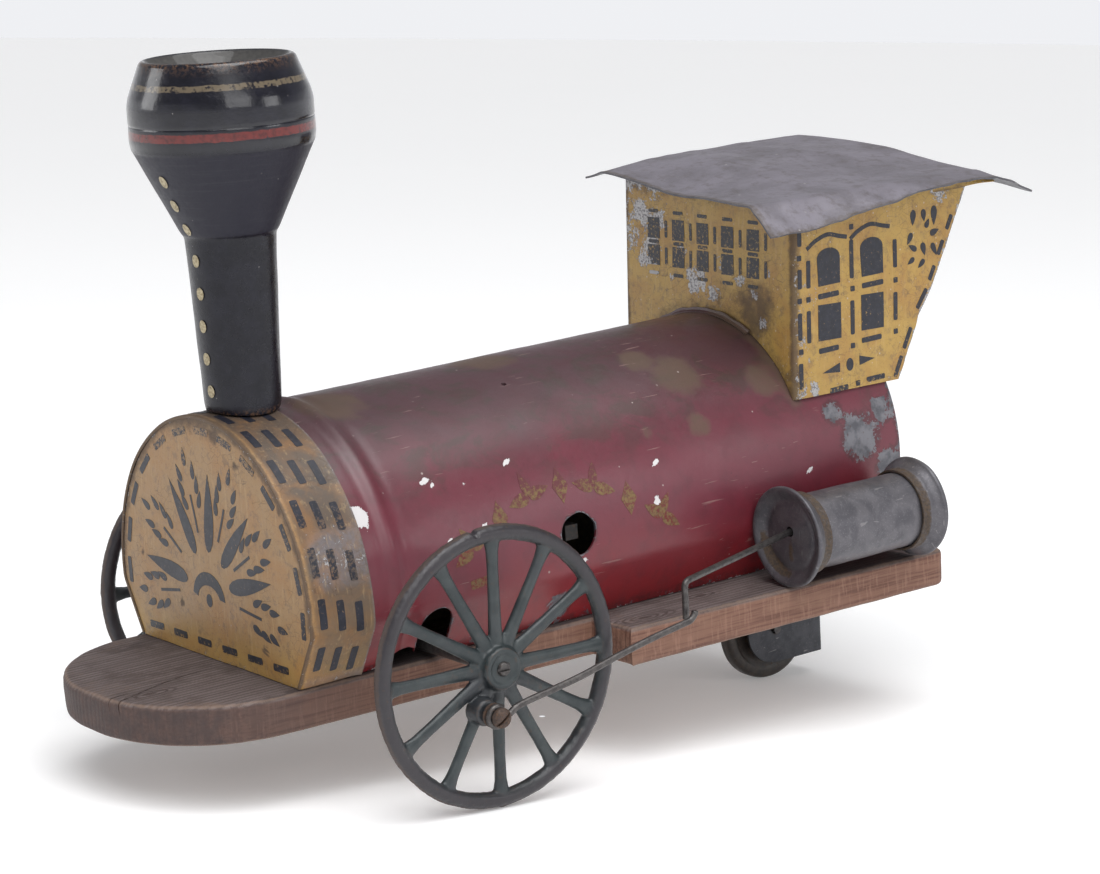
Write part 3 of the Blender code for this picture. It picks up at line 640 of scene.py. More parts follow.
def roof_paint():
    """Grey lead paint on tin: dusty, scuffed, brown and bare along its edges."""
    g = Graph("grey_roof_paint", metallic=0.1)
    grey = g.mix(g.ramp(g.noise(21, 6, 0.6, 0.5), 0.36, 0.66), (0.190, 0.176, 0.206), (0.142, 0.131, 0.150))
    grey = g.mix(g.both(g.ramp(g.noise(4.5, 6, 0.7), 0.48, 0.68), 0.45), grey, (0.072, 0.058, 0.052))
    grey = g.mix(g.both(g.ramp(g.noise(0.5, 3), 0.55, 0.68), 0.45), grey, (0.205, 0.190, 0.200))
    streak = g.ramp(g.noise(1.4, 4, 0.6, 0.3, g.stretched(1, 12, 1)), 0.58, 0.70)
    grey = g.mix(g.both(streak, 0.22), grey, (0.23, 0.21, 0.21))
    edge = g.frayed("wear", 0.35, 0.75, 0.8, 2.4, 5, 0.7)
    grey = g.mix(g.both(edge, 0.85), grey, (0.075, 0.056, 0.040))
    bare = g.ragged(g.told("wear"), 0.8, edge=0.90, amount=0.5)
    grey = g.mix(bare, grey, (0.25, 0.235, 0.22))
    chips = g.both(g.ramp(g.cells(7.5), 0.075, 0.05), g.ramp(g.noise(18, 2), 0.52, 0.58))
    grey = g.mix(g.both(chips, 0.7), grey, (0.36, 0.35, 0.34))
    return g.set(grey, g.span(g.noise(3, 5), 0.34, 0.60), g.value(bare, 0.1, 0.6), heights=[
        (g.noise(0.6, 4, 0.6), 0.045), (g.noise(3.5, 4), 0.09), (streak, -0.015), (bare, -0.04)])


def cast_iron():
    """Green-black painted casting: sandy skin, brown along its arrises."""
    g = Graph("green_black_casting", metallic=0.15, Coat_Roughness=0.35)
    skin = g.mix(g.ramp(g.noise(6, 5, 0.6), 0.36, 0.66), (0.0175, 0.0250, 0.0275), (0.034, 0.043, 0.045))
    skin = g.mix(g.both(g.ramp(g.noise(14, 3), 0.5, 0.7), 0.45), skin, (0.030, 0.028, 0.036))
    reach = g.math("ADD", g.math("MULTIPLY", g.axis("Y"), g.axis("Y")),
                   g.math("MULTIPLY", g.axis("Z"), g.axis("Z")))
    skin = g.mix(g.both(g.ramp(reach, 39 ** 2, 42 ** 2), 0.75), skin, (0.028, 0.021, 0.026))
    arris = g.frayed("edge", 0.42, 0.78, 0.85, 1.5, 5, 0.7)
    skin = g.mix(g.both(arris, 0.62), skin, (0.072, 0.044, 0.032))
    spot = g.ramp(g.noise(2.8, 6, 0.72), 0.59, 0.68)
    skin = g.mix(g.both(spot, 0.6), skin, (0.055, 0.032, 0.022))
    bright = g.ramp(g.noise(0.8, 4, 0.7), 0.68, 0.73)
    skin = g.mix(g.both(bright, 0.5), skin, (0.15, 0.155, 0.16))
    rough = g.value(arris, g.span(g.noise(2.4, 4), 0.26, 0.50), 0.62)
    return g.set(skin, rough, heights=[(g.noise(0.55, 4, 0.6), 0.06), (g.noise(2.1, 3), 0.12),
                                       (spot, -0.03)], coat=0.15)


def tinplate(name, dark=0.0):
    """Bare tinned iron: cloudy grey, scratched, with rust where told."""
    g = Graph(name, metallic=0.55)
    cloudy = g.ramp(g.noise(7, 6, 0.62, 0.6), 0.36, 0.66)
    grey = g.mix(cloudy, mix((0.128, 0.122, 0.134), (0.045, 0.048, 0.055), dark),
                 mix((0.086, 0.083, 0.094), (0.028, 0.030, 0.036), dark))
    grey = g.mix(g.both(g.ramp(g.noise(0.7, 4, 0.7), 0.55, 0.68), 0.4), grey,
                 mix((0.25, 0.24, 0.25), (0.09, 0.09, 0.10), dark))
    scratch = g.ramp(g.noise(0.9, 2, 0.5, 0.8, g.stretched(1, 9, 3)), 0.69, 0.71)
    grey = g.mix(g.both(scratch, 0.35), grey, (0.33, 0.32, 0.32))
    # The told rust; on the front lids it also holds a painted shadow of the piston wire.
    rusty = g.frayed("rust", 0.42, 0.78, 1.0, 2.0, 6, 0.72)
    brown = g.mix(g.ramp(g.noise(0.8, 4), 0.42, 0.62), (0.070, 0.043, 0.022), (0.036, 0.024, 0.016))
    grey = g.mix(g.both(rusty, 0.92), grey, brown)
    return g.set(grey, g.value(rusty, g.span(g.noise(2.6, 5), 0.36, 0.56), 0.66), g.value(rusty, 0.55, 0.1),
                 heights=[
        (g.noise(0.6, 4), 0.03), (g.noise(4, 3), 0.08), (rusty, 0.03), (scratch, -0.02)])


def old_steel(name, colour, other, rust, metallic, low, high):
    """Small metal parts: a base colour, tarnish, and patches of rust."""
    g = Graph(name, metallic=metallic)
    base = g.mix(g.ramp(g.noise(1.8, 5, 0.65), 0.36, 0.66), colour, other)
    rusty = g.ramp(g.noise(1.3, 6, 0.7, 0.3, g.stretched(shift=0.02)), 0.62 - rust * 0.25,
                   0.74 - rust * 0.25)
    base = g.mix(g.both(rusty, 0.85), base, g.mix(g.ramp(g.noise(0.5, 3), 0.4, 0.6), (0.085, 0.043, 0.023),
                                                  (0.030, 0.019, 0.014)))
    pits = g.ramp(g.cells(0.9), 0.20, 0.05)
    return g.set(base, g.value(rusty, g.span(g.noise(1.6, 4), low, high), 0.72),
                 g.value(rusty, metallic, 0.15),
                 heights=[(g.noise(0.4, 4), 0.03), (pits, -0.03), (rusty, 0.02)])


def board_wood(knots):
    """Softwood board: grey and dirty on top, red-brown and sawn along the sides."""
    g = Graph("weathered_board_wood")
    z = g.axis("Z")
    top = g.ramp(z, BOARD_TOP - 1.6, BOARD_TOP - 0.5)
    wave = g.noise(26, 3, 0.5, 0.3, g.stretched(1, 5, 1))
    fibre = g.noise(0.85, 5, 0.62, 0.0, g.stretched(1, 42, 1))
    late = g.add("TexWave", {"Vector": g.stretched(1, 0.02, 1), "Scale": 1 / (7.5 * MM), "Distortion": 2.2,
                             "Detail": 3.0, "Detail Scale": 0.35, "Detail Roughness": 0.6},
                 wave_type="BANDS", bands_direction="X")
    late = g.ramp(g.math("ADD", g.both(late, 0.5), g.both(wave, 0.5)), 0.30, 0.75)
    side = g.mix(late, (0.190, 0.094, 0.062), (0.130, 0.060, 0.040))
    side = g.mix(g.ramp(fibre, 0.42, 0.66), side, (0.115, 0.050, 0.034))
    sawn = g.ramp(g.noise(1.0, 3, 0.6, 0.2, g.stretched(1, 1, 9)), 0.52, 0.66)
    side = g.mix(g.both(sawn, 0.38), side, (0.300, 0.165, 0.115))
    pale = g.ramp(g.noise(17, 4, 0.6), 0.52, 0.72)
    side = g.mix(g.both(pale, 0.35), side, (0.27, 0.155, 0.10))
    nose = g.both(g.ramp(g.axis("Y"), 10, -60), g.span(g.noise(9, 5, 0.65), 0.45, 1.0))
    side = g.mix(g.both(nose, 0.88), side, (0.050, 0.034, 0.032))
    above = g.mix(late, (0.150, 0.120, 0.116), (0.084, 0.062, 0.060))
    above = g.mix(g.both(g.ramp(fibre, 0.44, 0.62), 0.55), above, (0.048, 0.033, 0.030))
    dirt = g.ramp(g.noise(12, 6, 0.7), 0.46, 0.66)
    above = g.mix(g.both(dirt, 0.7), above, (0.055, 0.038, 0.034))
    colour = g.mix(top, side, above)
    rings = None
    for kx, ky, size in knots:
        flat = g.add("VectorMath", {0: g.place, 1: (kx * MM, ky * MM, BOARD_TOP * MM)},
                     operation="SUBTRACT")
        flat = g.add("Mapping", {"Vector": flat, "Scale": (1.0, 0.45, 1.0)})
        far = g.add("VectorMath", {0: flat}, output="Value", operation="LENGTH")
        far = g.math("ADD", g.math("MULTIPLY", far, 1 / MM), g.both(g.noise(4, 3), 2.0))
        ring = g.ramp(g.math("SINE", g.math("MULTIPLY", far, 4.2)), -0.1, 0.8)
        ring = g.either(g.both(ring, g.ramp(far, size, size * 0.5)), g.ramp(far, 2.6, 1.6))
        rings = ring if rings is None else g.either(rings, ring)
    colour = g.mix(g.both(rings, g.both(top, 0.85)), colour, (0.040, 0.024, 0.022))
    # The told stain: dirt at the tin's joints with the board, and painted shadow under the cylinders.
    grime_and_shadow = g.frayed("stain_and_shade", 0.3, 0.8, 0.9, 5, 6, 0.7)
    colour = g.mix(g.both(grime_and_shadow, 0.8), colour, (0.042, 0.030, 0.030))
    worn = g.frayed("wear", 0.40, 0.85, 0.8, 3, 5, 0.7)
    colour = g.mix(g.both(worn, 0.5), colour, (0.25, 0.165, 0.120))
    return g.set(colour, g.span(fibre, 0.55, 0.85), heights=[
        (fibre, -0.16), (late, -0.08), (sawn, 0.05), (g.noise(0.5, 3), 0.05), (g.both(rings, top), -0.12)])


def brass():
    g = Graph("tarnished_brass", metallic=0.9)
    base = g.mix(g.ramp(g.noise(6, 5, 0.6), 0.36, 0.66), (0.42, 0.27, 0.10), (0.21, 0.125, 0.05))
    base = g.mix(g.both(g.ramp(g.noise(1.3, 5, 0.7), 0.55, 0.70), 0.6), base, (0.10, 0.065, 0.032))
    brushed = g.noise(0.6, 3, 0.6, 0.0, g.stretched(1, 14, 1))
    return g.set(base, g.span(g.noise(2.2, 4), 0.28, 0.55),
                 heights=[(brushed, 0.02), (g.noise(0.9, 3), 0.02)])


def floor_paint():
    g = Graph("pale_floor", Emission_Strength=0.16)
    tone = g.mix(g.noise(300, 3), (0.90, 0.90, 0.905), (0.92, 0.92, 0.922))
    return g.set(tone, 0.75, heights=[(g.noise(3, 3), 0.02)])


# --- painted marks: thin films of paint laid on a surface -----------------------------
def film(name, outlines, lay, matrix=None, longest=2.6):
    """Flat outlines, cut fine enough to follow a surface, placed by lay(a, b)."""
    bm = bmesh.new()
    for outline in outlines:
        corners = [bm.verts.new((a * MM, b * MM, 0)) for a, b in outline]
        bm.faces.new(corners)
    bmesh.ops.triangulate(bm, faces=bm.faces)
    for _ in range(4):
        long_ones = [e for e in bm.edges if e.calc_length() > longest * MM]
        if not long_ones:
            break
        bmesh.ops.subdivide_edges(bm, edges=long_ones, cuts=1)
        bmesh.ops.triangulate(bm, faces=bm.faces)
    for vertex in bm.verts:
        vertex.co = Vector(lay(vertex.co.x / MM, vertex.co.y / MM)) * MM
    data = bpy.data.meshes.new(name)
    bm.to_mesh(data)
    bm.free()
    ob = bpy.data.objects.new(name, data)
    bpy.context.scene.collection.objects.link(ob)
    ob.matrix_world = matrix or TRAIN
    modify(ob, "SOLIDIFY", thickness=FILM_THICK * MM, offset=0.0)
    return apply_all(ob)


def bar(a, b, long, wide, turn=0.0, soft=0.5):
    """A painted dash, its ends a little rounded; turn in degrees."""
    half, thick = long / 2, wide / 2
    corner = min(soft, thick * 0.9)
    points = []
    for sx, sy, first in ((1, 1, 0), (-1, 1, 90), (-1, -1, 180), (1, -1, 270)):
        for k in range(3):
            angle = math.radians(first + 45 * k)
            points.append((sx * (half - corner) + corner * math.cos(angle),
                           sy * (thick - corner) + corner * math.sin(angle)))
    c, s = math.cos(math.radians(turn)), math.sin(math.radians(turn))
    return [(a + p * c - q * s, b + p * s + q * c) for p, q in points]


def drop(a, b, long, wide, turn):
    """A teardrop with its fat end at (a, b); its tip points along turn, in degrees."""
    points = []
    for k in range(18):
        t = math.tau * k / 18
        along = long * (0.5 - 0.5 * math.cos(t)) - wide * 0.25
        across = wide * 0.62 * math.sin(t) * (0.5 + 0.5 * math.cos(t)) ** 0.55
        points.append((along, across))
    c, s = math.cos(math.radians(turn)), math.sin(math.radians(turn))
    return [(a + p * c - q * s, b + p * s + q * c) for p, q in points]


def disc(a, b, wide, tall, count=14):
    return [(a + wide / 2 * math.cos(math.tau * k / count), b + tall / 2 * math.sin(math.tau * k / count))
            for k in range(count)]


def swept(points, wide):
    """A brushed line through points, of even width."""
    line = flowing([(a, b, 0) for a, b in points], 5)
    left, right = [], []
    for i, p in enumerate(line):
        way = (line[min(i + 1, len(line) - 1)] - line[max(i - 1, 0)]).normalized()
        out = Vector((-way.y, way.x, 0)) * wide / 2
        left.append(((p + out).x, (p + out).y))
        right.append(((p - out).x, (p - out).y))
    return left + right[::-1]


# --- base board -----------------------------------------------------------------------
KNOTS = ((62.5, 76.0, 9.0), (55.0, 106.0, 6.0), (16.0, -84.0, 7.0), (-60.0, 150.0, 8.0))


def board_outline():
    """The board from above: round nose, narrow front, a sawn step, wide tail."""
    wide, tail = BOARD_HIGH.x, BOARD_HIGH.y
    nose = BOARD_LOW.y
    half = [(NARROW_W - NOSE_RX + NOSE_RX * math.sin(a), nose + NOSE_RY - NOSE_RY * math.cos(a))
            for a in (math.pi / 2 * i / 26 for i in range(27))]
    half += [(NARROW_W, nose + NOSE_RY + (STEP_Y - nose - NOSE_RY) * i / 40) for i in range(1, 41)]
    half += [(NARROW_W + (wide - NARROW_W) * i / 8, STEP_Y) for i in range(1, 9)]
    half += [(wide, STEP_Y + (tail - 5 - STEP_Y) * i / 50) for i in range(1, 50)]
    half += [(wide - 5 + 5 * math.cos(a), tail - 5 + 5 * math.sin(a))
             for a in (math.pi / 2 * i / 6 for i in range(7))]
    half += [((wide - 5) * (1 - i / 22), tail) for i in range(1, 22)]
    other = [(-x, y) for x, y in reversed(half)]
    return half + [(0.0, tail)] + other


def base_board(paint):
    """Rings from the underside's middle, out round each worn arris, to the top's."""
    outline = board_outline()
    count = len(outline)
    outs = []
    for i in range(count):
        way = Vector(outline[(i + 1) % count]) - Vector(outline[i - 1])
        outs.append(Vector((way.y, -way.x)).normalized())

    def ring(inset, z, rough):
        points = []
        for (x, y), out in zip(outline, outs):
            far = ripple((x, y, z * 1.5), 9, 0.34) + ripple((x, y, z * 3), 2.6, 0.10, 3) - rough
            chip = max(0.0, noise.noise(Vector((x, y, 40)) / 7) - 0.32) * 3.2 * rough
            point = Vector((x, y)) + out * (far - inset - chip - 0.3)
            points.append((point.x, point.y, z + ripple((x, y, 0), 24, 0.16, 7)))
        return points
    low, high = BOARD_LOW.z, BOARD_TOP
    rings = [ring(3.8, low, 0), ring(2.2, low, 0), ring(1.1, low + 0.04, 0.1), ring(0.4, low + 0.35, 0.3),
             ring(0.05, low + 0.9, 0.15)]
    rings += [ring(0, low + (high - low) * t, 0.0) for t in (0.16, 0.3, 0.45, 0.6, 0.75, 0.87)]
    rings += [ring(0.05, high - 0.9, 0.2), ring(0.45, high - 0.32, 0.4), ring(1.2, high - 0.04, 0.2),
              ring(2.2, high, 0), ring(3.8, high, 0)]
    board = outward(raw("board", *solid(rings)))
    slot = prism("slot_tool", [(3, -11), (11.5, -11), (11.5, 11), (3, 11)], "z", low - 5, high + 5)
    cracks = []
    # Two splits that follow the grain in from the round nose.
    start = BOARD_LOW.y - 3
    for x0, x1, end, wide, deep in ((16.0, 5.0, -56.0, 0.45, 5.0), (10.6, 9.0, -88.0, 0.35, 4.0)):
        rows = []
        for t in (i / 8 for i in range(9)):
            y = start + (end - start) * t
            middle = x0 + (x1 - x0) * t + 1.4 * math.sin(y / 9.0)
            rows.append([(middle - wide, y, high + 1), (middle + wide, y, high + 1),
                         (middle + 0.3, y, high - deep)])
        rows[-1] = [(middle + aside, end, high + 0.5 - down)
                    for aside, down in ((-0.05, 0), (0.05, 0), (0, 0.4))]
        cracks.append(outward(raw("crack_tool", *solid(rows))))
    carve(board, slot, *cracks)

    def near_tin(p):
        """Dirt gathers where the tin stands on the board; the darkening under the cylinders is painted shadow."""
        along = smooth(abs(abs(p.x) - on_arch(boiler_section(p.y), 0)[0]), 7, 0.5) if p.y > FACE_Y else 0.0
        face = smooth(abs(p.y - FACE_Y), 8, 0.5) * smooth(abs(p.x), 54, 46)
        # below is painted shadow on the board under the cylinders.
        below = smooth(abs(abs(p.x) - CYL_X), 15, 4) * smooth(p.y, CYL_FRONT - 9, CYL_FRONT + 8)
        nose = smooth(p.y, -50, -84) * smooth(p.z, high - 0.3, high - 1.5) * 0.62
        return max(max(along, face, below * 0.8) * smooth(p.z, high - 2.5, high), nose)
    tell(board, "stain_and_shade", near_tin)
    tell(board, "wear", lambda p: max(smooth(p.z, high - 1.6, high - 0.4)
                                      * smooth(p.z, high + 0.2, high - 0.2),
                                      smooth(p.z, low + 1.4, low + 0.3)) * 0.8)
    return show(board, paint, "locomotive", ["base_board"], 50)


# --- smokebox -------------------------------------------------------------------------
def band_dent(x, y, z):
    knock = -0.5 * math.exp(-((y + 37) ** 2 + (z - 34) ** 2 + (x - 56) ** 2) / 90)
    return ripple((x, y, z), 19, 0.35, 5) + knock


def band_point(run, y, lift=0.0):
    x, z = on_arch(BAND_ARCH, run)
    x, z = on_arch(BAND_ARCH, run, lift + band_dent(x, y, z))
    return x, y, z


def smokebox_band(paint, inside):
    total = arch_length(BAND_ARCH)
    fold = [(BAND_REAR, 0.30), (BAND_REAR - 0.3, 0.34), (BAND_REAR - 0.9, 0.20), (BAND_REAR - 2.2, 0.0)]
    fold += [(BAND_REAR - 2.2 + (FACE_Y + 1.6 - BAND_REAR + 2.2) * i / 12, 0.0) for i in range(1, 13)]
    fold += [(FACE_Y + 0.42, -0.05), (FACE_Y + 0.12, -0.22), (FACE_Y + 0.0, -0.52), (FACE_Y + 0.06, -0.95),
             (FACE_Y + 0.35, -1.25)]
    fold.reverse()
    rows = [[band_point(total * j / 120, y, lift) for j in range(121)] for y, lift in fold]
    band = raw("smokebox_band_sheet", *grid(rows))
    thicken(band, paint, inside, TIN * 0.8)
    apply_all(band)

    def wear(p):
        folded = smooth(p.y, FACE_Y + 1.2, FACE_Y + 0.1) * 0.24
        # flank marks a mid-height patch on the band's side: the ochre paint shows it as a painted silvery
        # highlight, with a few worn specks.
        flank = smooth(abs(p.z - 37), 15, 3) * smooth(p.x, 20, 50) * smooth(p.y, FACE_Y, FACE_Y + 7)
        return max(folded, flank * 0.36, smooth(p.y, BAND_REAR - 1.2, BAND_REAR) * 0.35,
                   smooth(p.z, 2, -3) * 0.3)
    tell(band, "wear", wear)
    tell(band, "stain_and_shade", lambda p: max(smooth(p.y, FACE_Y + 2.2, FACE_Y + 0.2) * 0.85,
                                      smooth(p.z, 62, 76) * 0.55,
                                      smooth(math.hypot(p.x, p.y - STACK_Y), 20, 12) * smooth(p.z, 60, 70)
                                      * 0.85,
                                      smooth(p.y, BAND_REAR - 2, BAND_REAR) * 0.4))
    return show(band, [paint, inside], "locomotive", ["smokebox_band"])


def face_front(x, z):
    """y of the smokebox face's front, gently pillowed and dented."""
    rim = smooth(math.hypot(x, z - BAND_ARCH[1]), 57, 40)
    pillow = -0.35 * rim * smooth(z, -4, 12)
    return FACE_Y + 0.55 + pillow + ripple((x, 0, z), 17, 0.45, 11) * (0.3 + 0.7 * rim)


def smokebox_face(paint, inside):
    radius, centre, foot = BAND_ARCH
    section = (radius - 1.2, centre, foot - 1.2)
    total = arch_length(section)
    outline = [on_arch(section, total * j / 96) for j in range(97)]
    left, right = outline[0], outline[-1]
    outline += [(right[0] + (left[0] - right[0]) * j / 30, left[1]) for j in range(1, 30)]
    middle = Vector((0.0, 26.0))
    rows = []
    for i in range(26):
        shrink = 1.0 - i / 26.0
        row = [middle + (Vector(p) - middle) * shrink for p in outline]
        rows.append([(p.x, face_front(p.x, p.y), p.y) for p in row])
    points, faces = grid(rows, closed=True)
    last = len(points) - len(outline)
    points.append((middle.x, face_front(middle.x, middle.y), middle.y))
    faces += [(last + j, len(points) - 1, last + (j + 1) % len(outline)) for j in range(len(outline))]
    face = raw("smokebox_face_sheet", points, [corners[::-1] for corners in faces])
    thicken(face, paint, inside, TIN)
    apply_all(face)
    high = BAND_ARCH[0] + BAND_ARCH[1]

    def stain_and_shade(p):
        edge = smooth(math.hypot(p.x, p.z - BAND_ARCH[1]), 52, 58) * smooth(p.z, 5, 20)
        top = smooth(p.z, high - 14, high) * smooth(p.x, 30, 2)
        spots = max(smooth(math.hypot(p.x - sx, p.z - sz), size, 0.5) for sx, sz, size in (
            (8, 71, 4.5), (20, 63, 3.0), (44, 52, 2.4), (-20, 12, 2.6), (30, 5, 3.2), (-44, 25, 2.6)))
        return max(edge * 0.8, top * 0.8, spots)
    tell(face, "stain_and_shade", stain_and_shade)
    tell(face, "wear", lambda p: max(smooth(math.hypot(p.x, p.z - BAND_ARCH[1]), 55.5, 57.3) * 0.42
                                     * smooth(p.z, 5, 12),
                                     smooth(p.z, 0, -3.5) * 0.35))
    return show(face, [paint, inside], "locomotive", ["smokebox_face"])


FAN = Vector((-2.0, 19.0))                # the middle of the painted fan
RAYS = (172, 120, 83, 46, 13)             # its five drops, in degrees
SPRIGS = (189, 148, 103, 66, 30, -7)      # and the leafy sprigs between them


def fan_spot(angle, far, aside=0.0):
    a = math.radians(angle)
    along = Vector((math.cos(a), math.sin(a)))
    return FAN + along * far + Vector((-along.y, along.x)) * aside


def face_marks():
    """A crescent, five drops and six sprigs as a fan, inside a dashed border."""
    marks = []
    for angle in RAYS:
        start = fan_spot(angle, 14.5)
        marks.append(drop(start.x, start.y, 26.5, 6.0, angle))
    for angle in SPRIGS:
        foot, end = fan_spot(angle, 19.0), fan_spot(angle, 31.5)
        marks.append(swept([(foot.x, foot.y), (foot.lerp(end, 0.5).x, foot.lerp(end, 0.5).y),
                            (end.x, end.y)], 1.0))
        leaves = [(41.5, 0.0, 0.0)] + [(far, side * wide, side * lean) for far, wide, lean in
                                       ((36.8, 3.9, 14), (32.0, 4.3, 20), (27.4, 3.7, 26))
                                       for side in (1, -1)]
        for far, aside, lean in leaves:
            spot = fan_spot(angle, far, aside)
            marks.append(drop(spot.x, spot.y, 6.2, 2.7, angle + lean + 5 * math.sin(far + angle)))
    outer = [(FAN.x + 9.6 * math.cos(math.radians(a)), FAN.y - 3.0 + 9.2 * math.sin(math.radians(a)))
             for a in range(4, 177, 12)]
    inner = [(FAN.x + 6.6 * math.cos(math.radians(a)), FAN.y - 3.4 + 5.2 * math.sin(math.radians(a)))
             for a in range(172, 7, -12)]
    marks.append(outer + inner)
    marks.append(disc(FAN.x, FAN.y - 3.2, 3.4, 4.4))
    total = arch_length(BAND_ARCH)
    steps = 13
    for i in range(steps):
        run = 16 + (total - 32) * (i + 0.5) / steps
        x, z = on_arch(BAND_ARCH, run, -5.0)
        x2, z2 = on_arch(BAND_ARCH, run + 1, -5.0)
        marks.append(bar(x, z, 8.8, 2.4, math.degrees(math.atan2(z2 - z, x2 - x))))
    for i in range(6):
        marks.append(bar(-38.5 + 15.4 * i, 0.9, 8.8, 2.4, 1))
    return marks


def band_marks():
    """Three rows of dashes round the band: a is the distance along the arch, b is y."""
    total = arch_length(BAND_ARCH)
    marks = []
    for row, y in enumerate((-45.2, -38.6, -32.0)):
        for i in range(14):
            run = 11.5 + (total - 23) * i / 13 - 1.6 * row * (1 if i < 7 else -1)
            marks.append(bar(run, y, 9.6, 2.7, 0))
    return marks


# --- boiler ---------------------------------------------------------------------------
# Its round marks, each at x, y, z and of one size: bare patches, white chips and stains.
BOILER_WORN = (
    (49, 51, 3.0, 9), (51, 184, 37, 15), (49, 174, 47, 8), (51, 197, 24, 12), (50, 160, 7, 6),
    (50, 196, 44, 9), (-50, 60, 5, 10), (-51, 175, 34, 12), (54, 34.5, 24, 3))
BOILER_CHIPS = (
    (49.5, -24.5, 47, 4.4), (48.5, -23, 43.5, 3.4), (46.3, 5.6, 51.6, 1.7), (45.2, 3.5, 52.5, 1.5),
    (47.7, 18.5, 49.3, 1.4), (45, 36.7, 53.3, 1.3), (54, 20.2, 34.8, 2.2), (54.4, 5.6, 34.0, 1.5),
    (50.4, 92.5, 43.3, 1.6), (53.5, 91.0, 31.6, 1.6), (53.4, 94.5, 31.4, 1.4), (52.4, 68, 24, 1.3),
    (54.0, 59, 16.6, 2.0), (51.4, 77, 20, 1.0), (52.5, 158, 29, 1.2), (50, 62, -1, 1.6),
    (48.5, 71, -1.5, 1.6))
BOILER_STAINS = (
    (32, 118, 67, 19), (24, 108, 73, 13), (46, 116, 52, 9), (10, -8, 75, 24), (44, 94, 52, 6),
    (0, 60, 76, 22), (-20, 130, 72, 25), (40, 150, 62, 13), (-35, 20, 64, 24))


def boiler_point(run_share, y, lift=0.0):
    section = boiler_section(y)
    x, z = on_arch(section, run_share * arch_length(section))
    bead = 0.0
    if abs(y - BEAD_Y) < BEAD_HALF:
        bead = BEAD_H * max(0.0, math.cos((y - BEAD_Y) / BEAD_HALF * math.pi / 2))
    groove = -0.30 * math.exp(-((y - BEAD_Y - 5.4) / 1.5) ** 2)
    groove -= 0.2 * math.exp(-((y - BEAD_Y + 4.6) / 1.3) ** 2)
    dents = ripple((x, y * 0.7, z), 30, 0.55, 2) + ripple((x, y, z), 11, 0.12, 9)
    # Two soft knocks behind the bead and one low down by the axle.
    for kx, ky, kz, size, depth in ((45, -6, 48, 9, 0.5), (53, 6, 38, 7, 0.35), (52, 36, 6, 9, 0.45)):
        dents -= depth * math.exp(-((x - kx) ** 2 + (y - ky) ** 2 + (z - kz) ** 2) / size ** 2)
    firm = smooth(y, BOILER_REAR + 1, BOILER_REAR - 12) * smooth(z, FOOT_Z - 1, FOOT_Z + 8)
    x, z = on_arch(section, run_share * arch_length(section), bead + groove + dents * firm + lift)
    return x, y, z


def boiler_shell(paint, inside):
    fine = [BOILER_FRONT + 1.0 * i for i in range(28)]
    ys = fine + [fine[-1] + (BOILER_REAR - fine[-1]) * i / 76 for i in range(1, 77)]
    rows = [[boiler_point(j / 120, y) for j in range(121)] for y in ys]
    shell = raw("boiler_sheet", *grid(rows))
    thicken(shell, paint, inside, TIN)
    slot = [(-SLOT_HALF, -20), (SLOT_HALF, -20)]
    slot += [(SLOT_HALF * math.cos(a), SLOT_TOP - SLOT_HALF + SLOT_HALF * math.sin(a))
             for a in (math.pi * i / 14 for i in range(15))]
    key = [((KEY_R + 0.25 * math.sin(3 * a)) * math.cos(a) + KEY_Y,
            (KEY_R + 0.2 * math.cos(5 * a)) * math.sin(a) + KEY_Z)
           for a in (math.tau * i / 40 for i in range(40))]
    tools = [prism("slot_tool", slot, "x", -70, 70), prism("key_tool", key, "x", 40, 70),
             prism("nail_tool", circle(0.9, 12, (21.2, 54.2)), "z", 60, 80),
             prism("nick_tool", [(-17.5, -6), (-5.5, -6), (-6.5, 0.6), (-9, 1.6), (-15, 0.9)], "x", 40, 70)]
    carve(shell, *tools)

    def ring(p):
        return math.hypot(p.y - KEY_Y, p.z - KEY_Z) if p.x > 0 else 99.0

    def wear(p):
        key = smooth(ring(p), KEY_R + 1.4, KEY_R + 0.2) * 0.55
        low = smooth(p.z, 3.0, -3.0) * 0.40
        rear = smooth(p.y, BOILER_REAR - 4, BOILER_REAR) * 0.55
        slot_edge = smooth(math.hypot(p.y, max(0.0, p.z - 7)), SLOT_HALF + 1.6, SLOT_HALF)
        slot_edge *= 0.5 if p.z < 16 else 0.0
        return max(key, low, rear, strongest(p, BOILER_WORN, 0.25) * 0.72, slot_edge)

    def chip(p):
        return max(strongest(p, BOILER_CHIPS, 0.4, 1.3), smooth(p.z, -2.2, -3.6) * 0.42)

    def stain_and_shade(p):
        cab = smooth(abs(p.y - CAB_FRONT - 1), 8, 1) * smooth(p.z, 45, 56) * 0.8
        return max(strongest(p, BOILER_STAINS, 0.2) * 0.75, cab, smooth(p.z, 2, -3.5) * 0.4)
    tell(tell(tell(shell, "wear", wear), "chip", chip), "stain_and_shade", stain_and_shade)
    return show(shell, [paint, inside], "locomotive", ["boiler_shell"])


def boiler_ornament():
    """A generic swag of leaves and lozenges along the flank: a is y, b is the height."""
    marks = []
    for i in range(7):
        t = i / 6
        y, z = 14 + 78 * t, 24 + 19 * math.sin(math.pi * (0.10 + 0.86 * t))
        slope = math.degrees(math.atan2(19 * 0.86 * math.pi * math.cos(math.pi * (0.10 + 0.86 * t)), 78))
        if i % 2 == 0:
            for side in (0, 180):
                marks.append(drop(y + 1.2 * math.cos(math.radians(slope + side)),
                                  z + 1.2 * math.sin(math.radians(slope + side)),
                                  8.6, 4.6, slope + side))
            marks.append(drop(y, z + 1.6, 7.4, 3.8, slope + 90))
        else:
            marks.append([(y - 3.2, z), (y, z - 5.6), (y + 3.2, z), (y, z + 5.6)])
    marks.append(bar(17.5, 19.0, 11.0, 3.0, 6))
    return marks


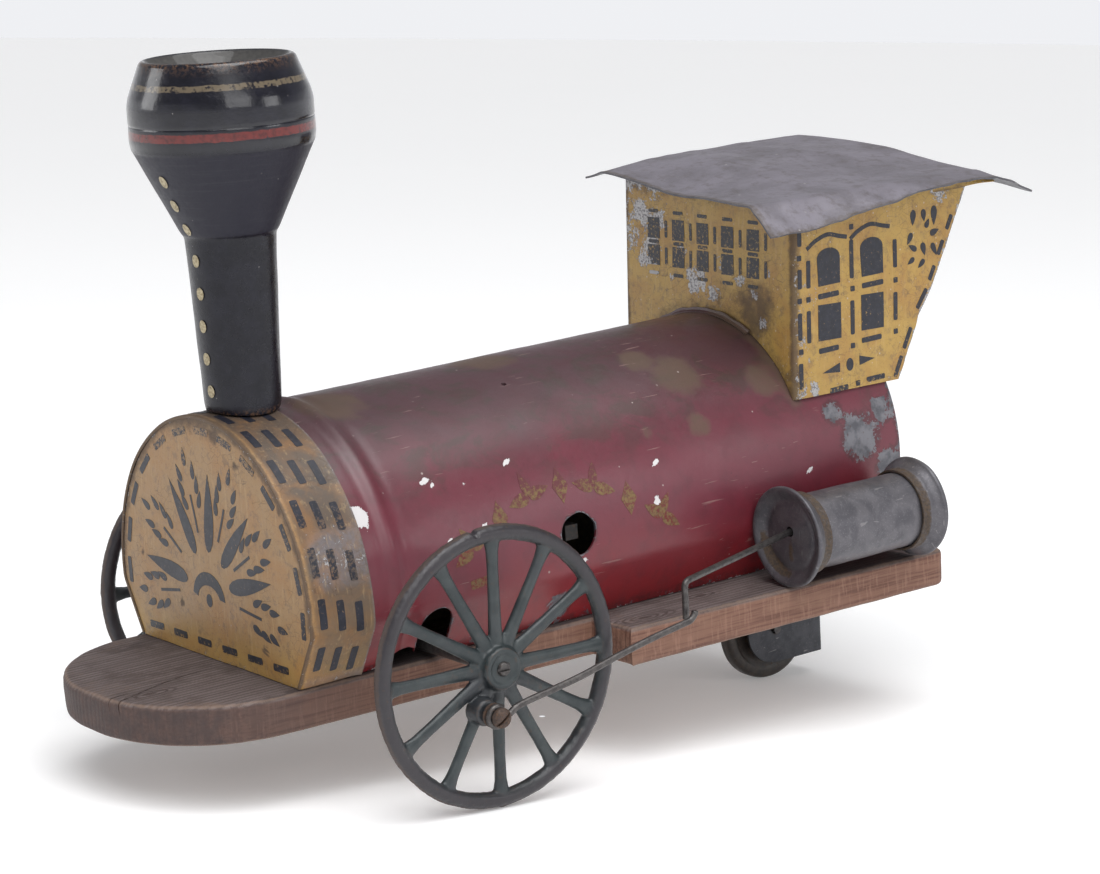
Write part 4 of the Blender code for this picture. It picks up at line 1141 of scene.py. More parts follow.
def flank_point(y, z, lift):
    """The point of the boiler's left flank at that y and height, lifted off it."""
    section = boiler_section(y)
    start, side = arch_sizes(section)[2:4]
    if z > SHOULDER_Z:
        run = side + section[0] * (math.asin((z - section[1]) / section[0]) - start)
    else:
        run = side * (z - FOOT_Z) / (SHOULDER_Z - FOOT_Z)
    return boiler_point(run / arch_length(section), y, lift)


# --- smokestack -----------------------------------------------------------------------
def smokestack(paint):
    cup = [(0.05, 104.0), (9.0, 104.2), (14.5, 105.2), (18.6, 107.8), (21.4, 111.0), (22.4, 112.5),
           (23.4, 112.8), (24.6, 112.1)]
    side = [(28.7, 101.5), (29.3, 98.6), (29.35, 93.4), (29.1, 93.0), (29.35, 92.6), (29.4, 88.0),
            (28.9, 85.2), (28.5, 84.6),
            (16.0, 58.9), (15.3, 57.7), (14.9, 57.2), (14.55, 56.2)]
    column = [(14.2, 50.0), (12.35, 3.2), (12.1, 1.0), (11.9, 0.2)]
    line = eased(cup + side + column, 0.8, 3)
    profile = []
    for a, b in zip(line, line[1:]):
        steps = max(1, int((a - b).length / 2.6))
        profile += [tuple(a.lerp(b, k / steps)) for k in range(steps)]
    profile += [tuple(line[-1]), (6.0, 0.0), (0.05, 0.0)]
    stack = lathe("stack_turning", profile, at(0, STACK_Y, STACK_FOOT), 120, wobble=0.10)
    # The foot is cut to sit on the band.
    for vertex in stack.data.vertices:
        x, z = vertex.co.x / MM, vertex.co.z / MM
        if z < 4:
            top = math.sqrt(BAND_ARCH[0] ** 2 - x ** 2) + BAND_ARCH[1] + 0.45 - STACK_FOOT
            vertex.co.z += top * MM * (1 - z / 4)
    tell(stack, "inside", lambda p: smooth(p.z - STACK_FOOT, 103.5, 103.8)
         * smooth(math.hypot(p.x, p.y - STACK_Y), 22.9, 21.9))
    tell(stack, "wear", lambda p: max(smooth(abs(math.hypot(p.x, p.y - STACK_Y) - 24.2), 1.3, 0.2)
                                      * smooth(p.z - STACK_FOOT, 110, 112),
                                      smooth(p.z - STACK_FOOT, 2.5, 0.3) * 0.9) * 0.8)
    return show(stack, paint, "locomotive", ["smokestack"], 60)


STACK_SIDE = ((0.2, 11.9), (3.2, 12.35), (50.0, 14.2), (56.2, 14.55), (57.2, 14.9), (58.9, 16.0),
              (84.6, 28.5))


def stack_dots(paint):
    """A row of gold dots down the front of the cone and the column."""
    facing = math.radians(-90 + 7)
    heights = [76.2 - 8.0 * i for i in range(3)] + [50.0 - 10.5 * i for i in range(5)]
    marks = [disc(0.3 * math.sin(h), h, 3.3, 3.9 if h > 57 else 4.1, 16) for h in heights]

    def lay(aside, h):
        r = 0.26
        for (z0, r0), (z1, r1) in zip(STACK_SIDE, STACK_SIDE[1:]):
            if z0 <= h <= z1:
                r += r0 + (r1 - r0) * (h - z0) / (z1 - z0)
        a = facing + aside / r
        return r * math.cos(a), r * math.sin(a), h
    dots = film("stack_gold_dots", marks, lay, at(0, STACK_Y, STACK_FOOT), 1.4)
    return show(dots, paint, "locomotive")


# --- the roof's shape, which the cab's top edge follows --------------------------------
def roof_level(u, y):
    """The bent roof sheet's height: it has lifted along its far side, most of all behind."""
    ahead = 4.6 * smooth(u, 12, -48)
    behind = 7.2 * smooth(u, 52, -22)
    lifted = ahead + (behind - ahead) * smooth(y, 150, 188)
    waves = ripple((u, y, 0), 30, 0.9, 4) * smooth(abs(u), 52, 30)
    return 122.6 + lifted + waves + ripple((u, y, 0), 13, 0.25, 6)


def roof_point(u, v):
    """u runs -ROOF_HALF..ROOF_HALF across; v runs 0..1 from the front edge to the rear flap's tip."""
    t = (u + ROOF_HALF) / (2 * ROOF_HALF)
    front, fold, tip = 152 - 10.5 * t, 244 + 3 * t, 250 + 14 * t
    y = front + (tip - front) * v
    flat = max(-46.2, min(46.2, u))
    slope = 0.24 if u < 0 else 0.12 + 0.70 * smooth(y, 236, 143)
    drop_side = max(0.0, abs(u) - 46.2) * slope
    flap = max(0.0, y - fold) / (tip - fold)
    down = (1.5 + 6.0 * t) * flap ** 1.2
    edge = ripple((u * 0.6, y, 5), 7, 0.7) * smooth(abs(u), 45.2, 47.6)
    return u, y, roof_level(flat, y) - drop_side - down + edge


# --- cab ------------------------------------------------------------------------------
REAR_EDGE = ((51.0, 206.2), (71.0, 216.5), (74.5, 217.6), (77.0, 219.6), (83.0, 224.0), (CAB_TOP, 245.0))


def rear_of(z):
    """y of the cab side's rear edge at a height."""
    for (z0, y0), (z1, y1) in zip(REAR_EDGE, REAR_EDGE[1:]):
        if z <= z1:
            return y0 + (y1 - y0) * max(0.0, z - z0) / (z1 - z0)
    return REAR_EDGE[-1][1]


def cab_height(x, y):
    """The cab sheet's top edge, tucked just under the roof."""
    return max(CAB_TOP, roof_level(max(-46.0, min(46.0, x)), max(146.0, y)) - 1.3)


def front_of(z):
    return CAB_FRONT + (z - 50) * CAB_LEAN


def saddle(x, y):
    """Height of the boiler's top under a point of the cab, with a hair of clearance."""
    radius, centre = boiler_section(y)[:2]
    return centre + math.sqrt(max(0.0, (radius + 0.35) ** 2 - x * x))


def cab_dent(x, y, z):
    return ripple((x, y, z), 26, 0.40, 13)


def side_point(y, z, lift, hand):
    return hand * (CAB_W - 0.1 + lift + cab_dent(hand * 46, y, z) * smooth(z, CAB_TOP, CAB_TOP - 8)), y, z


def front_point(x, z, lift=0.0):
    return x, front_of(z) - lift - cab_dent(x, 158, z) * smooth(z, CAB_TOP, CAB_TOP - 8), z


def cab_body(paint, inside):
    """One folded sheet: left side, front wall, right side, with rounded folds."""
    fold = 1.4
    columns = [("side", 1, 1 - t / 30) for t in range(31)]
    columns += [("fold", 1, a) for a in (0.25, 0.5, 0.75)]
    columns += [("front", 0, 1 - 2 * t / 40) for t in range(41)]
    columns += [("fold", -1, a) for a in (0.75, 0.5, 0.25)]
    columns += [("side", -1, t / 30) for t in range(31)]
    rows = []
    for i in range(37):
        row = []
        for kind, hand, t in columns:
            if kind == "side":
                low = saddle(CAB_W - 0.8, 160 + 44 * t)
                high = cab_height(hand * CAB_W, 162 + 78 * t)
                z = low + (high - low) * i / 36
                start = front_of(z) + fold
                ragged = ripple((0, z, hand * 9), 5, 0.35) * smooth(t, 0.9, 1.0)
                row.append(side_point(start + (rear_of(z) - start + ragged) * t, z, 0, hand))
            elif kind == "front":
                x = t * (CAB_W - fold)
                low = saddle(x, CAB_FRONT)
                row.append(front_point(x, low + (cab_height(x, 161) - low) * i / 36))
            else:
                low = saddle(CAB_W - 0.8, 160)
                z = low + (cab_height(hand * CAB_W, 161) - low) * i / 36
                a = math.pi / 2 * t
                row.append((hand * (CAB_W - 0.1 - fold * (1 - math.cos(a))),
                            front_of(z) + fold * (1 - math.sin(a)), z))
        rows.append(row)
    cab = raw("cab_sheet", *grid(rows))
    thicken(cab, paint, inside, TIN)
    apply_all(cab)

    def wear(p):
        worn = smooth(p.z, CAB_TOP - 5, CAB_TOP - 1) * 0.62
        if p.y > CAB_FRONT + 8:
            worn = max(worn, smooth(rear_of(p.z) - p.y, 2.2, 0.3) * 0.6)
            worn = max(worn, smooth(math.dist(p, (46, 230, 118)), 9, 2) * 0.75,
                       smooth(math.dist(p, (46, 166, 55)), 7, 2) * 0.72)
            worn = max(worn, smooth(math.hypot(p.y - 172, p.z - 88), 9, 3) * 0.34)
        else:
            for sx, sz, size in ((-38, 112, 9), (-30, 103, 8), (-27, 110, 6), (-36, 95, 5), (-6, 90, 9),
                                 (4, 86, 7), (10, 97, 6), (-14, 99, 5),
                                 (18, 92, 5), (34, 96, 3), (26, 88, 4), (-20, 90, 3), (30, 78, 4)):
                worn = max(worn, smooth(math.hypot(p.x - sx, p.z - sz), size, size * 0.3) * 0.66)
            far_side = smooth(-p.x, 6, 34) * smooth(p.z, 86, 98)
            worn = max(worn, far_side * 0.46, smooth(abs(p.x), CAB_W - 1.2, CAB_W) * 0.40)
        return worn

    def stain_and_shade(p):
        # darker_at_folds darkens the paint along the two front folds.
        darker_at_folds = smooth(math.hypot(abs(p.x) - CAB_W, p.y - front_of(p.z)), 5, 0.5) * 0.8
        # eave, low and shade are painted shade: a dark band under the roof's eave, and dark patches in the corner
        # where the cab front meets the boiler.
        eave = smooth(p.z, CAB_TOP - 9, CAB_TOP - 1) * 0.55
        low = smooth(p.z - saddle(min(abs(p.x), 50), CAB_FRONT), 12, 1) * 0.55 * smooth(p.y, 170, 160)
        shade = max(smooth(math.dist(p, (26, 159, 82)), 22, 4) * 0.75,
                    smooth(math.dist(p, (8, 159, 86)), 14, 3) * 0.5)
        # darker_side_walls darkens both side walls evenly.
        darker_side_walls = 0.27 * smooth(abs(p.x), 44, 46)
        return max(darker_at_folds, eave, low, shade, darker_side_walls)
    tell(tell(cab, "wear", wear), "stain_and_shade", stain_and_shade)
    return show(cab, [paint, inside], "locomotive", ["cab_body"])


def cab_tab(paint):
    """The torn soldering tab that curls out from under the eave at the left rear corner."""
    rows = []
    for i in range(13):
        t = i / 12
        y = 226 + 27 * t
        curl = smooth(t, 0.3, 1.0)
        wide = 4.2 * (1 - 0.8 * smooth(t, 0.4, 1.0))
        rows.append([(CAB_W - 0.2 + 3.4 * curl + 0.8 * k * curl, y,
                      120.9 - 2.4 * curl ** 1.7 - wide * k * (1 - 0.3 * curl))
                     for k in (j / 5 for j in range(6))])
    tab = raw("cab_curled_tab", *grid(rows))
    modify(tab, "SOLIDIFY", thickness=0.5 * MM, offset=0.0)
    modify(tab, "SUBSURF", levels=1, render_levels=1)
    apply_all(tab)
    tell(tab, "stain_and_shade", lambda p: smooth(p.z, 120, 116) * 0.7)
    tell(tab, "wear", 0.3)
    return show(tab, paint, "locomotive")


def saddle_lip(paint):
    """The boiler's turned-up lip along the front of the cab."""
    rows = []
    for far, up in ((1.6, 0.12), (0.9, 0.18), (0.45, 0.45), (0.3, 0.9), (0.28, 1.35)):
        row = []
        for j in range(61):
            a = math.radians(64 + 88 * j / 60)
            y = CAB_FRONT + (up + 30) * CAB_LEAN - 1.0 - far
            radius, centre = boiler_section(y)[:2]
            rag = 0.5 * noise.noise(Vector((a * 9, 0, 3))) * up
            reach = radius + 0.45 + up + rag
            row.append((reach * math.cos(a), y, centre + reach * math.sin(a)))
        rows.append(row)
    lip = raw("boiler_saddle_lip", *grid(rows))
    modify(lip, "SOLIDIFY", thickness=0.5 * MM, offset=-1.0)
    apply_all(lip)
    # A soot-brown stain all along the lip, and more towards +x: painted shade on that part of the lip.
    tell(lip, "stain_and_shade", lambda p: 0.35 + 0.4 * smooth(p.x, -12, 18))
    tell(lip, "wear", 0.2)
    tell(lip, "chip", 0.0)
    return show(lip, paint, "locomotive")


def side_marks():
    """Two arched windows over two square ones, with bars, brows and a floral drop motif: a is y."""
    marks = []
    for y, low, high in ((171.0, 91.0, 104.0), (191.2, 91.6, 105.0)):
        wide = 10.6
        top = [(y + wide / 2 + wide / 2 * math.cos(a), high - 3.4 + 3.4 * math.sin(a))
               for a in (math.pi * k / 10 for k in range(11))]
        marks.append([(y + 0.3, low), (y + wide - 0.2, low + 0.2)] + top)
        brow = [(y - 4.5, high + 0.6), (y - 0.5, high + 3.0), (y + 5.2, high + 4.6), (y + 10.5, high + 3.4),
                (y + 14.2, high + 2.6)]
        marks.append(swept(brow, 1.5))
    for y, low, high in ((170.4, 72.0, 84.6), (190.4, 72.8, 85.4)):
        marks.append([(y, low), (y + 10.6, low - 0.2), (y + 10.9, high - 0.3), (y + 0.4, high)])
    for y, spans in ((162.6, ((56.5, 65.5), (73.5, 83), (91.3, 98.1), (106.0, 111.2))),
                     (166.6, ((72.0, 83.3), (91.1, 100.7))),
                     (186.7, ((72.1, 84.1), (91.8, 105.3))), (207.0, ((74.2, 84.1), (92.8, 102.8)))):
        for low, high in spans:
            marks.append(bar(y + (low - 80) * 0.03, (low + high) / 2, high - low, 1.9, 90 - 1.5))
    for y0, y1, z in ((171, 180.6, 87.6), (191.4, 201.4, 88.6), (170.4, 179.6, 68.6), (190.4, 199.8, 69.4),
                      (174.7, 183.4, 54.0), (192.0, 200.6, 55.2)):
        marks.append(bar((y0 + y1) / 2, z, y1 - y0, 1.9, 1.5))
    for y, z in ((163.0, 102.0), (162.6, 87.2), (162.4, 69.5), (166.6, 87.2), (187.4, 109.8), (187.0, 88.2),
                 (186.2, 68.2),
                 (207.2, 88.4), (206.6, 70.2), (188.0, 54.6)):
        marks.append(bar(y, z, 2.0, 1.9, 0, 0.3))
    marks += [[(171.6, 60.6), (179.8, 59.8), (179.9, 63.2)], disc(184.5, 61.8, 3.4, 4.6),
              [(189.0, 60.8), (189.0, 64.2), (196.2, 62.3)]]
    # Drops scattered as two loose flowers, and dashes down the raked rear edge.
    for y, z, long, wide, turn in ((216.6, 111.2, 5.6, 2.9, -95), (221.4, 111.0, 4.6, 2.6, -85),
                                   (226.6, 111.5, 7.0, 3.2, -93),
                                   (215.4, 103.4, 4.6, 2.4, -120), (225.0, 102.6, 4.4, 2.6, 15),
                                   (217.2, 97.8, 4.4, 2.3, 150),
                                   (220.6, 99.2, 4.8, 2.7, -78), (225.2, 98.6, 5.2, 2.4, -65),
                                   (216.0, 94.6, 3.8, 2.1, -150),
                                   (220.8, 93.4, 4.2, 2.2, -140), (222.6, 105.4, 3.6, 2.4, 60)):
        marks.append(drop(y, z, long, wide, turn))
    for z in (57.5, 67.0, 80.0, 88.5, 97.0, 105.5):
        slope = math.degrees(math.atan2(4.0, rear_of(z + 2) - rear_of(z - 2)))
        marks.append(bar(rear_of(z) - 2.4, z, 5.6 if z > 80 else 8.0, 1.8, slope))
    return marks


def front_marks():
    """Five columns of small panes, two high, with glazing dashes between: a is x."""
    marks = []
    for i in range(5):
        x = -29.5 + 13.7 * i
        for low, high in ((93.4, 100.8), (103.0, 110.6)):
            marks.append([(x - 3.4, low), (x + 3.4, low + 0.1), (x + 3.3, high), (x - 3.3, high - 0.1)])
            marks.append(bar(x + 6.9, (low + high) / 2, 6.2, 1.5, 90))
        for z in (90.6, 101.9, 113.0):
            marks.append(bar(x, z, 5.6, 1.3, 0))
    return marks


# --- the roof sheet itself -------------------------------------------------------------
def cab_roof(paint, under):
    us = [-ROOF_HALF + 2 * ROOF_HALF * i / 72 for i in range(73)]
    vs = [i / 72 for i in range(73)]
    rows = []
    for v in vs:
        row = []
        for u in us:
            x, y, z = roof_point(u, v)
            torn = ripple((0, y, 1), 5.5, 1.0, 8) * smooth(abs(u), 50, 58)
            nick = 2.4 * math.exp(-((y - 211) / 4.5) ** 2) * smooth(u, 50, 58)
            x -= math.copysign(torn * 0.5 + nick + 0.4, u) * smooth(abs(u), 50, 58)
            y += ripple((x, 0, 2), 6, 0.5) * (smooth(v, 0.02, 0.0) + smooth(v, 0.98, 1.0))
            row.append((x, y, z))
        rows.append(row)
    roof = raw("roof_sheet", *grid([list(r)[::-1] for r in rows]))
    thicken(roof, paint, under, 0.7)
    apply_all(roof)

    def wear(p):
        t = (p.x + ROOF_HALF) / (2 * ROOF_HALF)
        front, tip = 152 - 10.5 * t, 250 + 14 * t
        edge = max(smooth(abs(p.x), 53.5, 57.6), smooth(p.y, front + 5, front + 1),
                   smooth(p.y, tip - 5, tip - 1))
        fold = max(smooth(abs(abs(p.x) - 46.6), 1.8, 0.2),
                   smooth(abs(p.y - 244.6 - 3 * t), 1.8, 0.2)) * 0.34
        return max(edge * 0.62, fold, smooth(math.hypot(p.x - 54, p.y - 222), 9, 3) * 0.45)
    tell(roof, "wear", wear)
    return show(roof, [paint, under], "locomotive", ["cab_roof"])


# --- drive wheels, axle and cranks ------------------------------------------------------
CRANK_Y, CRANK_Z = CRANK_R * math.cos(CRANK_ANGLE), CRANK_R * math.sin(CRANK_ANGLE)


def wheel_part(hand, rings):
    """A closed body through rings of (r, angle, out) points of one wheel."""
    rows = [[(hand * (WHEEL_X + out), r * math.cos(a), r * math.sin(a)) for r, a, out in ring]
            for ring in rings]
    return outward(raw("wheel_part", *solid(rows)))


def spoke_rings(turn):
    """A tapered oval spoke that flares into the rim."""
    rings = []
    for r, half, deep in ((4, 2.9, 1.9), (8, 2.65, 1.85), (12, 2.4, 1.7), (20, 2.15, 1.55), (30, 2.0, 1.45),
                          (36, 2.15, 1.5),
                          (39, 2.7, 1.6), (41, 3.7, 1.85), (42.8, 4.9, 2.0)):
        ring = []
        for k in range(14):
            t = math.tau * k / 14
            across, out = half * math.cos(t), deep * math.sin(t)
            ring.append((math.hypot(r, across), turn + math.atan2(across, r), out))
        rings.append(ring)
    return rings


def hub_rings(centre, profile, count=36):
    rings = []
    for radius, out in profile:
        ring = []
        for k in range(count):
            t = math.tau * k / count
            y, z = centre[0] + radius * math.cos(t), centre[1] + radius * math.sin(t)
            ring.append((math.hypot(y, z), math.atan2(z, y), out))
        rings.append(ring)
    return rings


def drive_wheel(side, hand, paint):
    centre = WHEEL_R - RIM_R - 0.05
    rim_rows = []
    for i in range(132):
        a = math.tau * i / 132
        rim_rows.append([(hand * (WHEEL_X + RIM_R * 1.02 * math.sin(b)),
                          (centre + RIM_R * math.cos(b)) * math.cos(a),
                          (centre + RIM_R * math.cos(b)) * math.sin(a))
                          for b in (math.tau * k / 20 for k in range(20))])
    parts = [outward(welded(raw("rim_part", *grid(rim_rows + [rim_rows[0]], closed=True))))]
    parts += [wheel_part(hand, spoke_rings(CRANK_ANGLE + math.tau * i / SPOKES)) for i in range(SPOKES)]
    hub = [(0.6, -4.0), (5.4, -4.0), (6.6, -3.3), (7.0, -2.2), (7.6, -1.2), (7.6, 1.4), (7.0, 2.6),
           (6.9, 3.6), (6.4, 4.3), (5.2, 4.4),
           (4.6, 3.9), (3.4, 3.8), (0.6, 3.8)]
    parts.append(wheel_part(hand, hub_rings((0, 0), hub)))
    boss = [(0.4, -1.6), (4.0, -1.6), (4.6, -0.4), (4.5, 2.4), (4.2, 4.3), (3.6, 5.0), (0.4, 5.1)]
    parts.append(wheel_part(hand, hub_rings((CRANK_Y, CRANK_Z), boss, 28)))
    points, faces = [], []
    for part in parts:
        start = len(points)
        points += [v.co / MM for v in part.data.vertices]
        faces += [tuple(start + i for i in face.vertices) for face in part.data.polygons]
        bpy.data.objects.remove(part)
    wheel = raw("drive_casting_" + side, points, faces)
    modify(wheel, "REMESH", mode="VOXEL", voxel_size=0.40 * MM)
    modify(wheel, "SMOOTH", factor=0.5, iterations=5)
    apply_all(wheel)
    # The casting: sandy skin, a parting line round the tread, a nick and a tail of flash.
    nick, tail = math.radians(97.8), math.radians(-91)
    for vertex in wheel.data.vertices:
        x, y, z = vertex.co / MM
        r, a = math.hypot(y, z), math.atan2(z, y)
        out = abs(x) - WHEEL_X
        push = 0.16 * noise.noise(Vector((x, y, z)) / 3.1) + 0.10 * noise.noise(Vector((x, y, z)) / 1.1)
        if r > 43.2:
            push += 0.20 * math.exp(-(out / 0.35) ** 2) * (0.5 + noise.noise(Vector((y, z, 3)) / 6))
            push -= 1.0 * math.exp(-((a - nick) * 45 / 0.9) ** 2)
            push += 0.5 * math.exp(-((a - tail) * 45 / 1.5) ** 2) * math.exp(-((out + 0.4) / 1.0) ** 2)
        if r > 1e-6:
            scale = (r + push * smooth(r, 3, 8)) / r
            vertex.co.y *= scale
            vertex.co.z *= scale
        vertex.co.x += math.copysign(0.14 * noise.noise(Vector((x, y, z)) / 4.0 + Vector((5, 0, 0))),
                                     out) * MM

    def edge(p):
        r, out = math.hypot(p.y, p.z), abs(p.x) - WHEEL_X
        tread = smooth(r, 43.9, 44.9) * 0.75
        inner = smooth(abs(r - 40.4), 0.9, 0.1) * smooth(out, 0.8, 1.7) * 0.5
        crest = smooth(out, 1.05, 1.55) * smooth(r, 40, 34) * smooth(r, 8, 12) * 0.45
        hub_edge = smooth(abs(r - 6.5), 0.8, 0.2) * smooth(out, 3.2, 4.2) * 0.6
        from_pin = math.hypot(p.y - CRANK_Y, p.z - CRANK_Z)
        boss_edge = smooth(abs(from_pin - 4.1), 0.8, 0.2) * smooth(out, 3, 4.6) * 0.6
        return max(tread, inner, crest, hub_edge, boss_edge)
    tell(wheel, "edge", edge)
    return show(wheel, paint, "drive_axle_set", ["drive_wheel_" + side], 180)


def drive_axle(paint):
    """A plain bar with domed ends, each slotted like a screw."""
    half = 89.6
    profile = [(0.05, -half), (1.2, -half + 0.02), (1.95, -half + 0.25), (2.3, -half + 0.8)]
    profile += [(2.38, -half + 1.4 + (2 * half - 2.8) * i / 60) for i in range(61)]
    profile += [(2.3, half - 0.8), (1.95, half - 0.25), (1.2, half - 0.02), (0.05, half)]
    bar_piece = lathe("axle_bar", profile, at(turn=turn_about("Y", 90)), 40, wobble=0.03)
    cuts = []
    for end in (-1, 1):
        box = [(-0.45, -4), (0.45, -4), (0.45, 4), (-0.45, 4)]
        cuts.append(prism("slot_tool", box, "z", min(end * (half - 0.9), end * 95),
                          max(end * (half - 0.9), end * 95),
                          at(turn=turn_about("Y", 90))))
    carve(bar_piece, *cuts)
    return show(bar_piece, paint, "drive_axle_set", ["drive_axle"], 35)


def crank_screw(side, hand, paint):
    place = at(hand * ROD_X, CRANK_Y, CRANK_Z, turn_about("Y", 90 * hand))
    profile = [tuple(p) for p in eased([(0.05, 4.35), (1.6, 4.25), (2.7, 3.75), (3.25, 2.9), (3.3, 1.75),
                                        (1.6, 1.55)], 0.35, 3)]
    # A coarse thread down the shank: ridge and root in turn.
    profile += [(1.6, 1.2), (1.55, 0.4)]
    z = 0.0
    while z > -10.2:
        profile += [(1.55, z), (1.36, z - 0.3)]
        z -= 0.6
    profile += [(1.2, -10.6), (0.05, -10.8)]
    screw = lathe("crank_screw_head_" + side, profile, place, 40, wobble=0.05)
    slot = prism("slot_tool", [(-0.42, -4), (0.42, -4), (0.42, 4), (-0.42, 4)], "z", 3.0, 6.0,
                 place @ turn_about("Z", 35 if hand > 0 else 110))
    carve(screw, slot)
    return show(screw, paint, "drive_axle_set", ["crank_screw_" + side], 30)


def crank_washer(side, hand, paint):
    low, high = train_box("crank_washer_" + side)
    middle = (low + high) / 2
    ring = [(1.75, -0.40), (2.1, -0.48), (3.5, -0.50), (3.85, -0.32), (3.9, 0.0), (3.8, 0.34), (3.4, 0.5),
            (2.1, 0.5), (1.75, 0.4), (1.7, 0.0),
            (1.75, -0.40)]
    washer = lathe("washer_" + side, ring, at(middle.x, middle.y, middle.z, turn_about("Y", 90 * hand)), 48,
                   wobble=0.06)
    return show(washer, paint, "drive_axle_set", ["crank_washer_" + side], 40)


# --- rods -----------------------------------------------------------------------------
EYE_R = 3.0


def connecting_rod(side, hand, paint):
    """One wire: an open eye round the crank pin, a long cranked run and an upturned end."""
    line = []
    for i in range(27):
        a = math.radians(52 + 290 * i / 26)
        line.append((hand * ROD_X, CRANK_Y + EYE_R * math.cos(a), CRANK_Z + EYE_R * math.sin(a)))
    foot_y, foot_z = LEG_Y - CRANK_Y, LEG_FOOT - CRANK_Z
    run = [(4.6, -0.1), (7.5, 1.5), (12, 2.5), (20.0, 3.7), (33, 5.8), (46.0, 8.7), (62, 11.8),
           (foot_y - 4.5, foot_z - 0.5),
           (foot_y - 1.8, foot_z + 0.2), (foot_y - 0.3, foot_z + 1.6), (foot_y, foot_z + 2.6)]
    bend = [(hand * (ROD_X + 0.25 * math.sin(dy / 14.0)), CRANK_Y + dy, CRANK_Z + dz) for dy, dz in run]
    curve = [Vector(p) for p in line] + flowing([line[-1]] + bend, 7)[1:]
    rod = tube("connecting_wire_" + side, curve, WIRE_R)
    for vertex in rod.data.vertices:
        vertex.co += Vector((0, 0.05, 0.05)) * MM * noise.noise(vertex.co / MM / 3.0)
    return show(rod, paint, "connecting_rod_" + side, ["connecting_rod_" + side], 60)


def rod_line(hand):
    """The piston rod's hole in the front lid, its bend, and the direction between them."""
    hole = Vector((hand * CYL_X, CYL_FRONT, ROD_HOLE_Z))
    bend = Vector((hand * LEG_X, LEG_Y, LEG_TOP))
    return hole, bend, (hole - bend).normalized()


def piston_rod(side, hand, paint):
    """A down leg, a tight bend, and a straight run through the cap into the barrel."""
    hole, bend, way = rod_line(1)
    points = [(LEG_X, LEG_Y, LEG_FOOT - 0.6), (LEG_X, LEG_Y + 0.05, LEG_FOOT + 2.5),
              (LEG_X, LEG_Y + 0.1, LEG_TOP - 5.0), (LEG_X, LEG_Y, LEG_TOP - 2.0),
              tuple(bend + way * 0.7 - Vector((0, 0, 0.55))), tuple(bend + way * 2.6)]
    points += [tuple(bend + way * t) for t in (6, 14, 24, 36, 48, 60)] + [tuple(hole + way * 12)]
    curve = flowing([(hand * x, y, z) for x, y, z in points], 6)
    rod = tube("piston_wire_" + side, curve, WIRE_R)
    return show(rod, paint, "piston_rod_" + side, ["piston_rod_" + side], 60)


# --- cylinders ------------------------------------------------------------------------
def cylinder_cap(side, hand, end, paint):
    """A pressed lid: a shallow dish, a raised bead round the rim and a turned-down skirt."""
    skirt = BARREL_R + 0.3
    dish = [(0.05, 0.05), (4.0, 0.12), (8.5, 0.05), (10.6, -0.15), (11.8, -0.60), (12.8, -0.25),
            (14.6, 1.10), (15.7, 1.90),
            (16.6, 2.2), (17.3, 1.9), (17.4, 1.3), (17.2, 0.6), (16.6, 0.1), (15.9, -0.8), (15.2, -1.9),
            (14.4, -2.8), (skirt + 0.75, -3.4)]
    outer = [tuple(p) for p in eased(dish, 0.5, 2)]
    outer += [(skirt + 0.75, -4.6), (skirt + 0.8, -CAP_SKIRT), (skirt + 0.4, -CAP_SKIRT - 0.1),
              (skirt, -CAP_SKIRT), (skirt, -2.4),
              (skirt - 0.5, -1.7), (0.05, -1.2)]
    place = at(hand * CYL_X, CYL_FRONT + 0.4 if end == "front" else CYL_REAR - 0.4, CYL_Z,
               turn_about("X", 90 if end == "front" else -90))
    cap = lathe("%s_lid_%s" % (end, side), outer, place, 120, wobble=0.16)
    for vertex in cap.data.vertices:
        x, y, z = vertex.co / MM
        if math.hypot(x, y) < 15 and z > -1.0:
            vertex.co.z += ripple((x, y, 0), 8, 0.22, 3.0 + hand) * MM
    if end == "front":
        hole, _, way = rod_line(hand)
        tool = raw("hole_tool", *solid([[(x, y, z) for x, y in circle(1.75, 20)] for z in (-9, 9)]),
                   at(hole.x, hole.y, hole.z) @ way.to_track_quat("Z", "Y").to_matrix().to_4x4())
        carve(cap, outward(tool))

    def rust(p):
        r = math.hypot(abs(p.x) - CYL_X, p.z - CYL_Z)
        angle = math.atan2(p.z - CYL_Z, (abs(p.x) - CYL_X))
        valley = smooth(abs(r - 15.0), 1.5, 0.4) * 0.30
        if end == "front":
            behind = smooth(p.y, CYL_FRONT + 2.2, CYL_FRONT + 4.0)
        else:
            behind = smooth(p.y, CYL_REAR - 2.2, CYL_REAR - 4.0)
        skirt_rust = smooth(r, 15.2, 14.2) * behind * 0.75
        # A crescent low on the side toward the boiler, and under the rod's hole a dark vertical streak: painted
        # shadow of the piston wire, coloured as rust.
        low = smooth(r, 9.0, 13.5) * smooth(r, 15.8, 14.0) * smooth(abs(angle + 2.35), 1.3, 0.4) * 0.95
        painted_wire_shadow = smooth(abs(abs(p.x) - CYL_X), 2.2, 0.4) * smooth(p.z, CYL_Z + 1, CYL_Z - 1.5)
        painted_wire_shadow *= smooth(p.z, CYL_Z - 12, CYL_Z - 7) * 0.8
        bead = smooth(r, 16.9, 17.4) * 0.35
        dirt = 0.38 * smooth(r, 15.5, 9.0)
        return max(valley, skirt_rust, low, painted_wire_shadow if end == "front" else 0.0, bead,
                   dirt if end == "front" else 0.0)
    tell(cap, "rust", rust)
    return show(cap, paint, "locomotive", ["cylinder_%s_cap_%s" % (end, side)], 32)


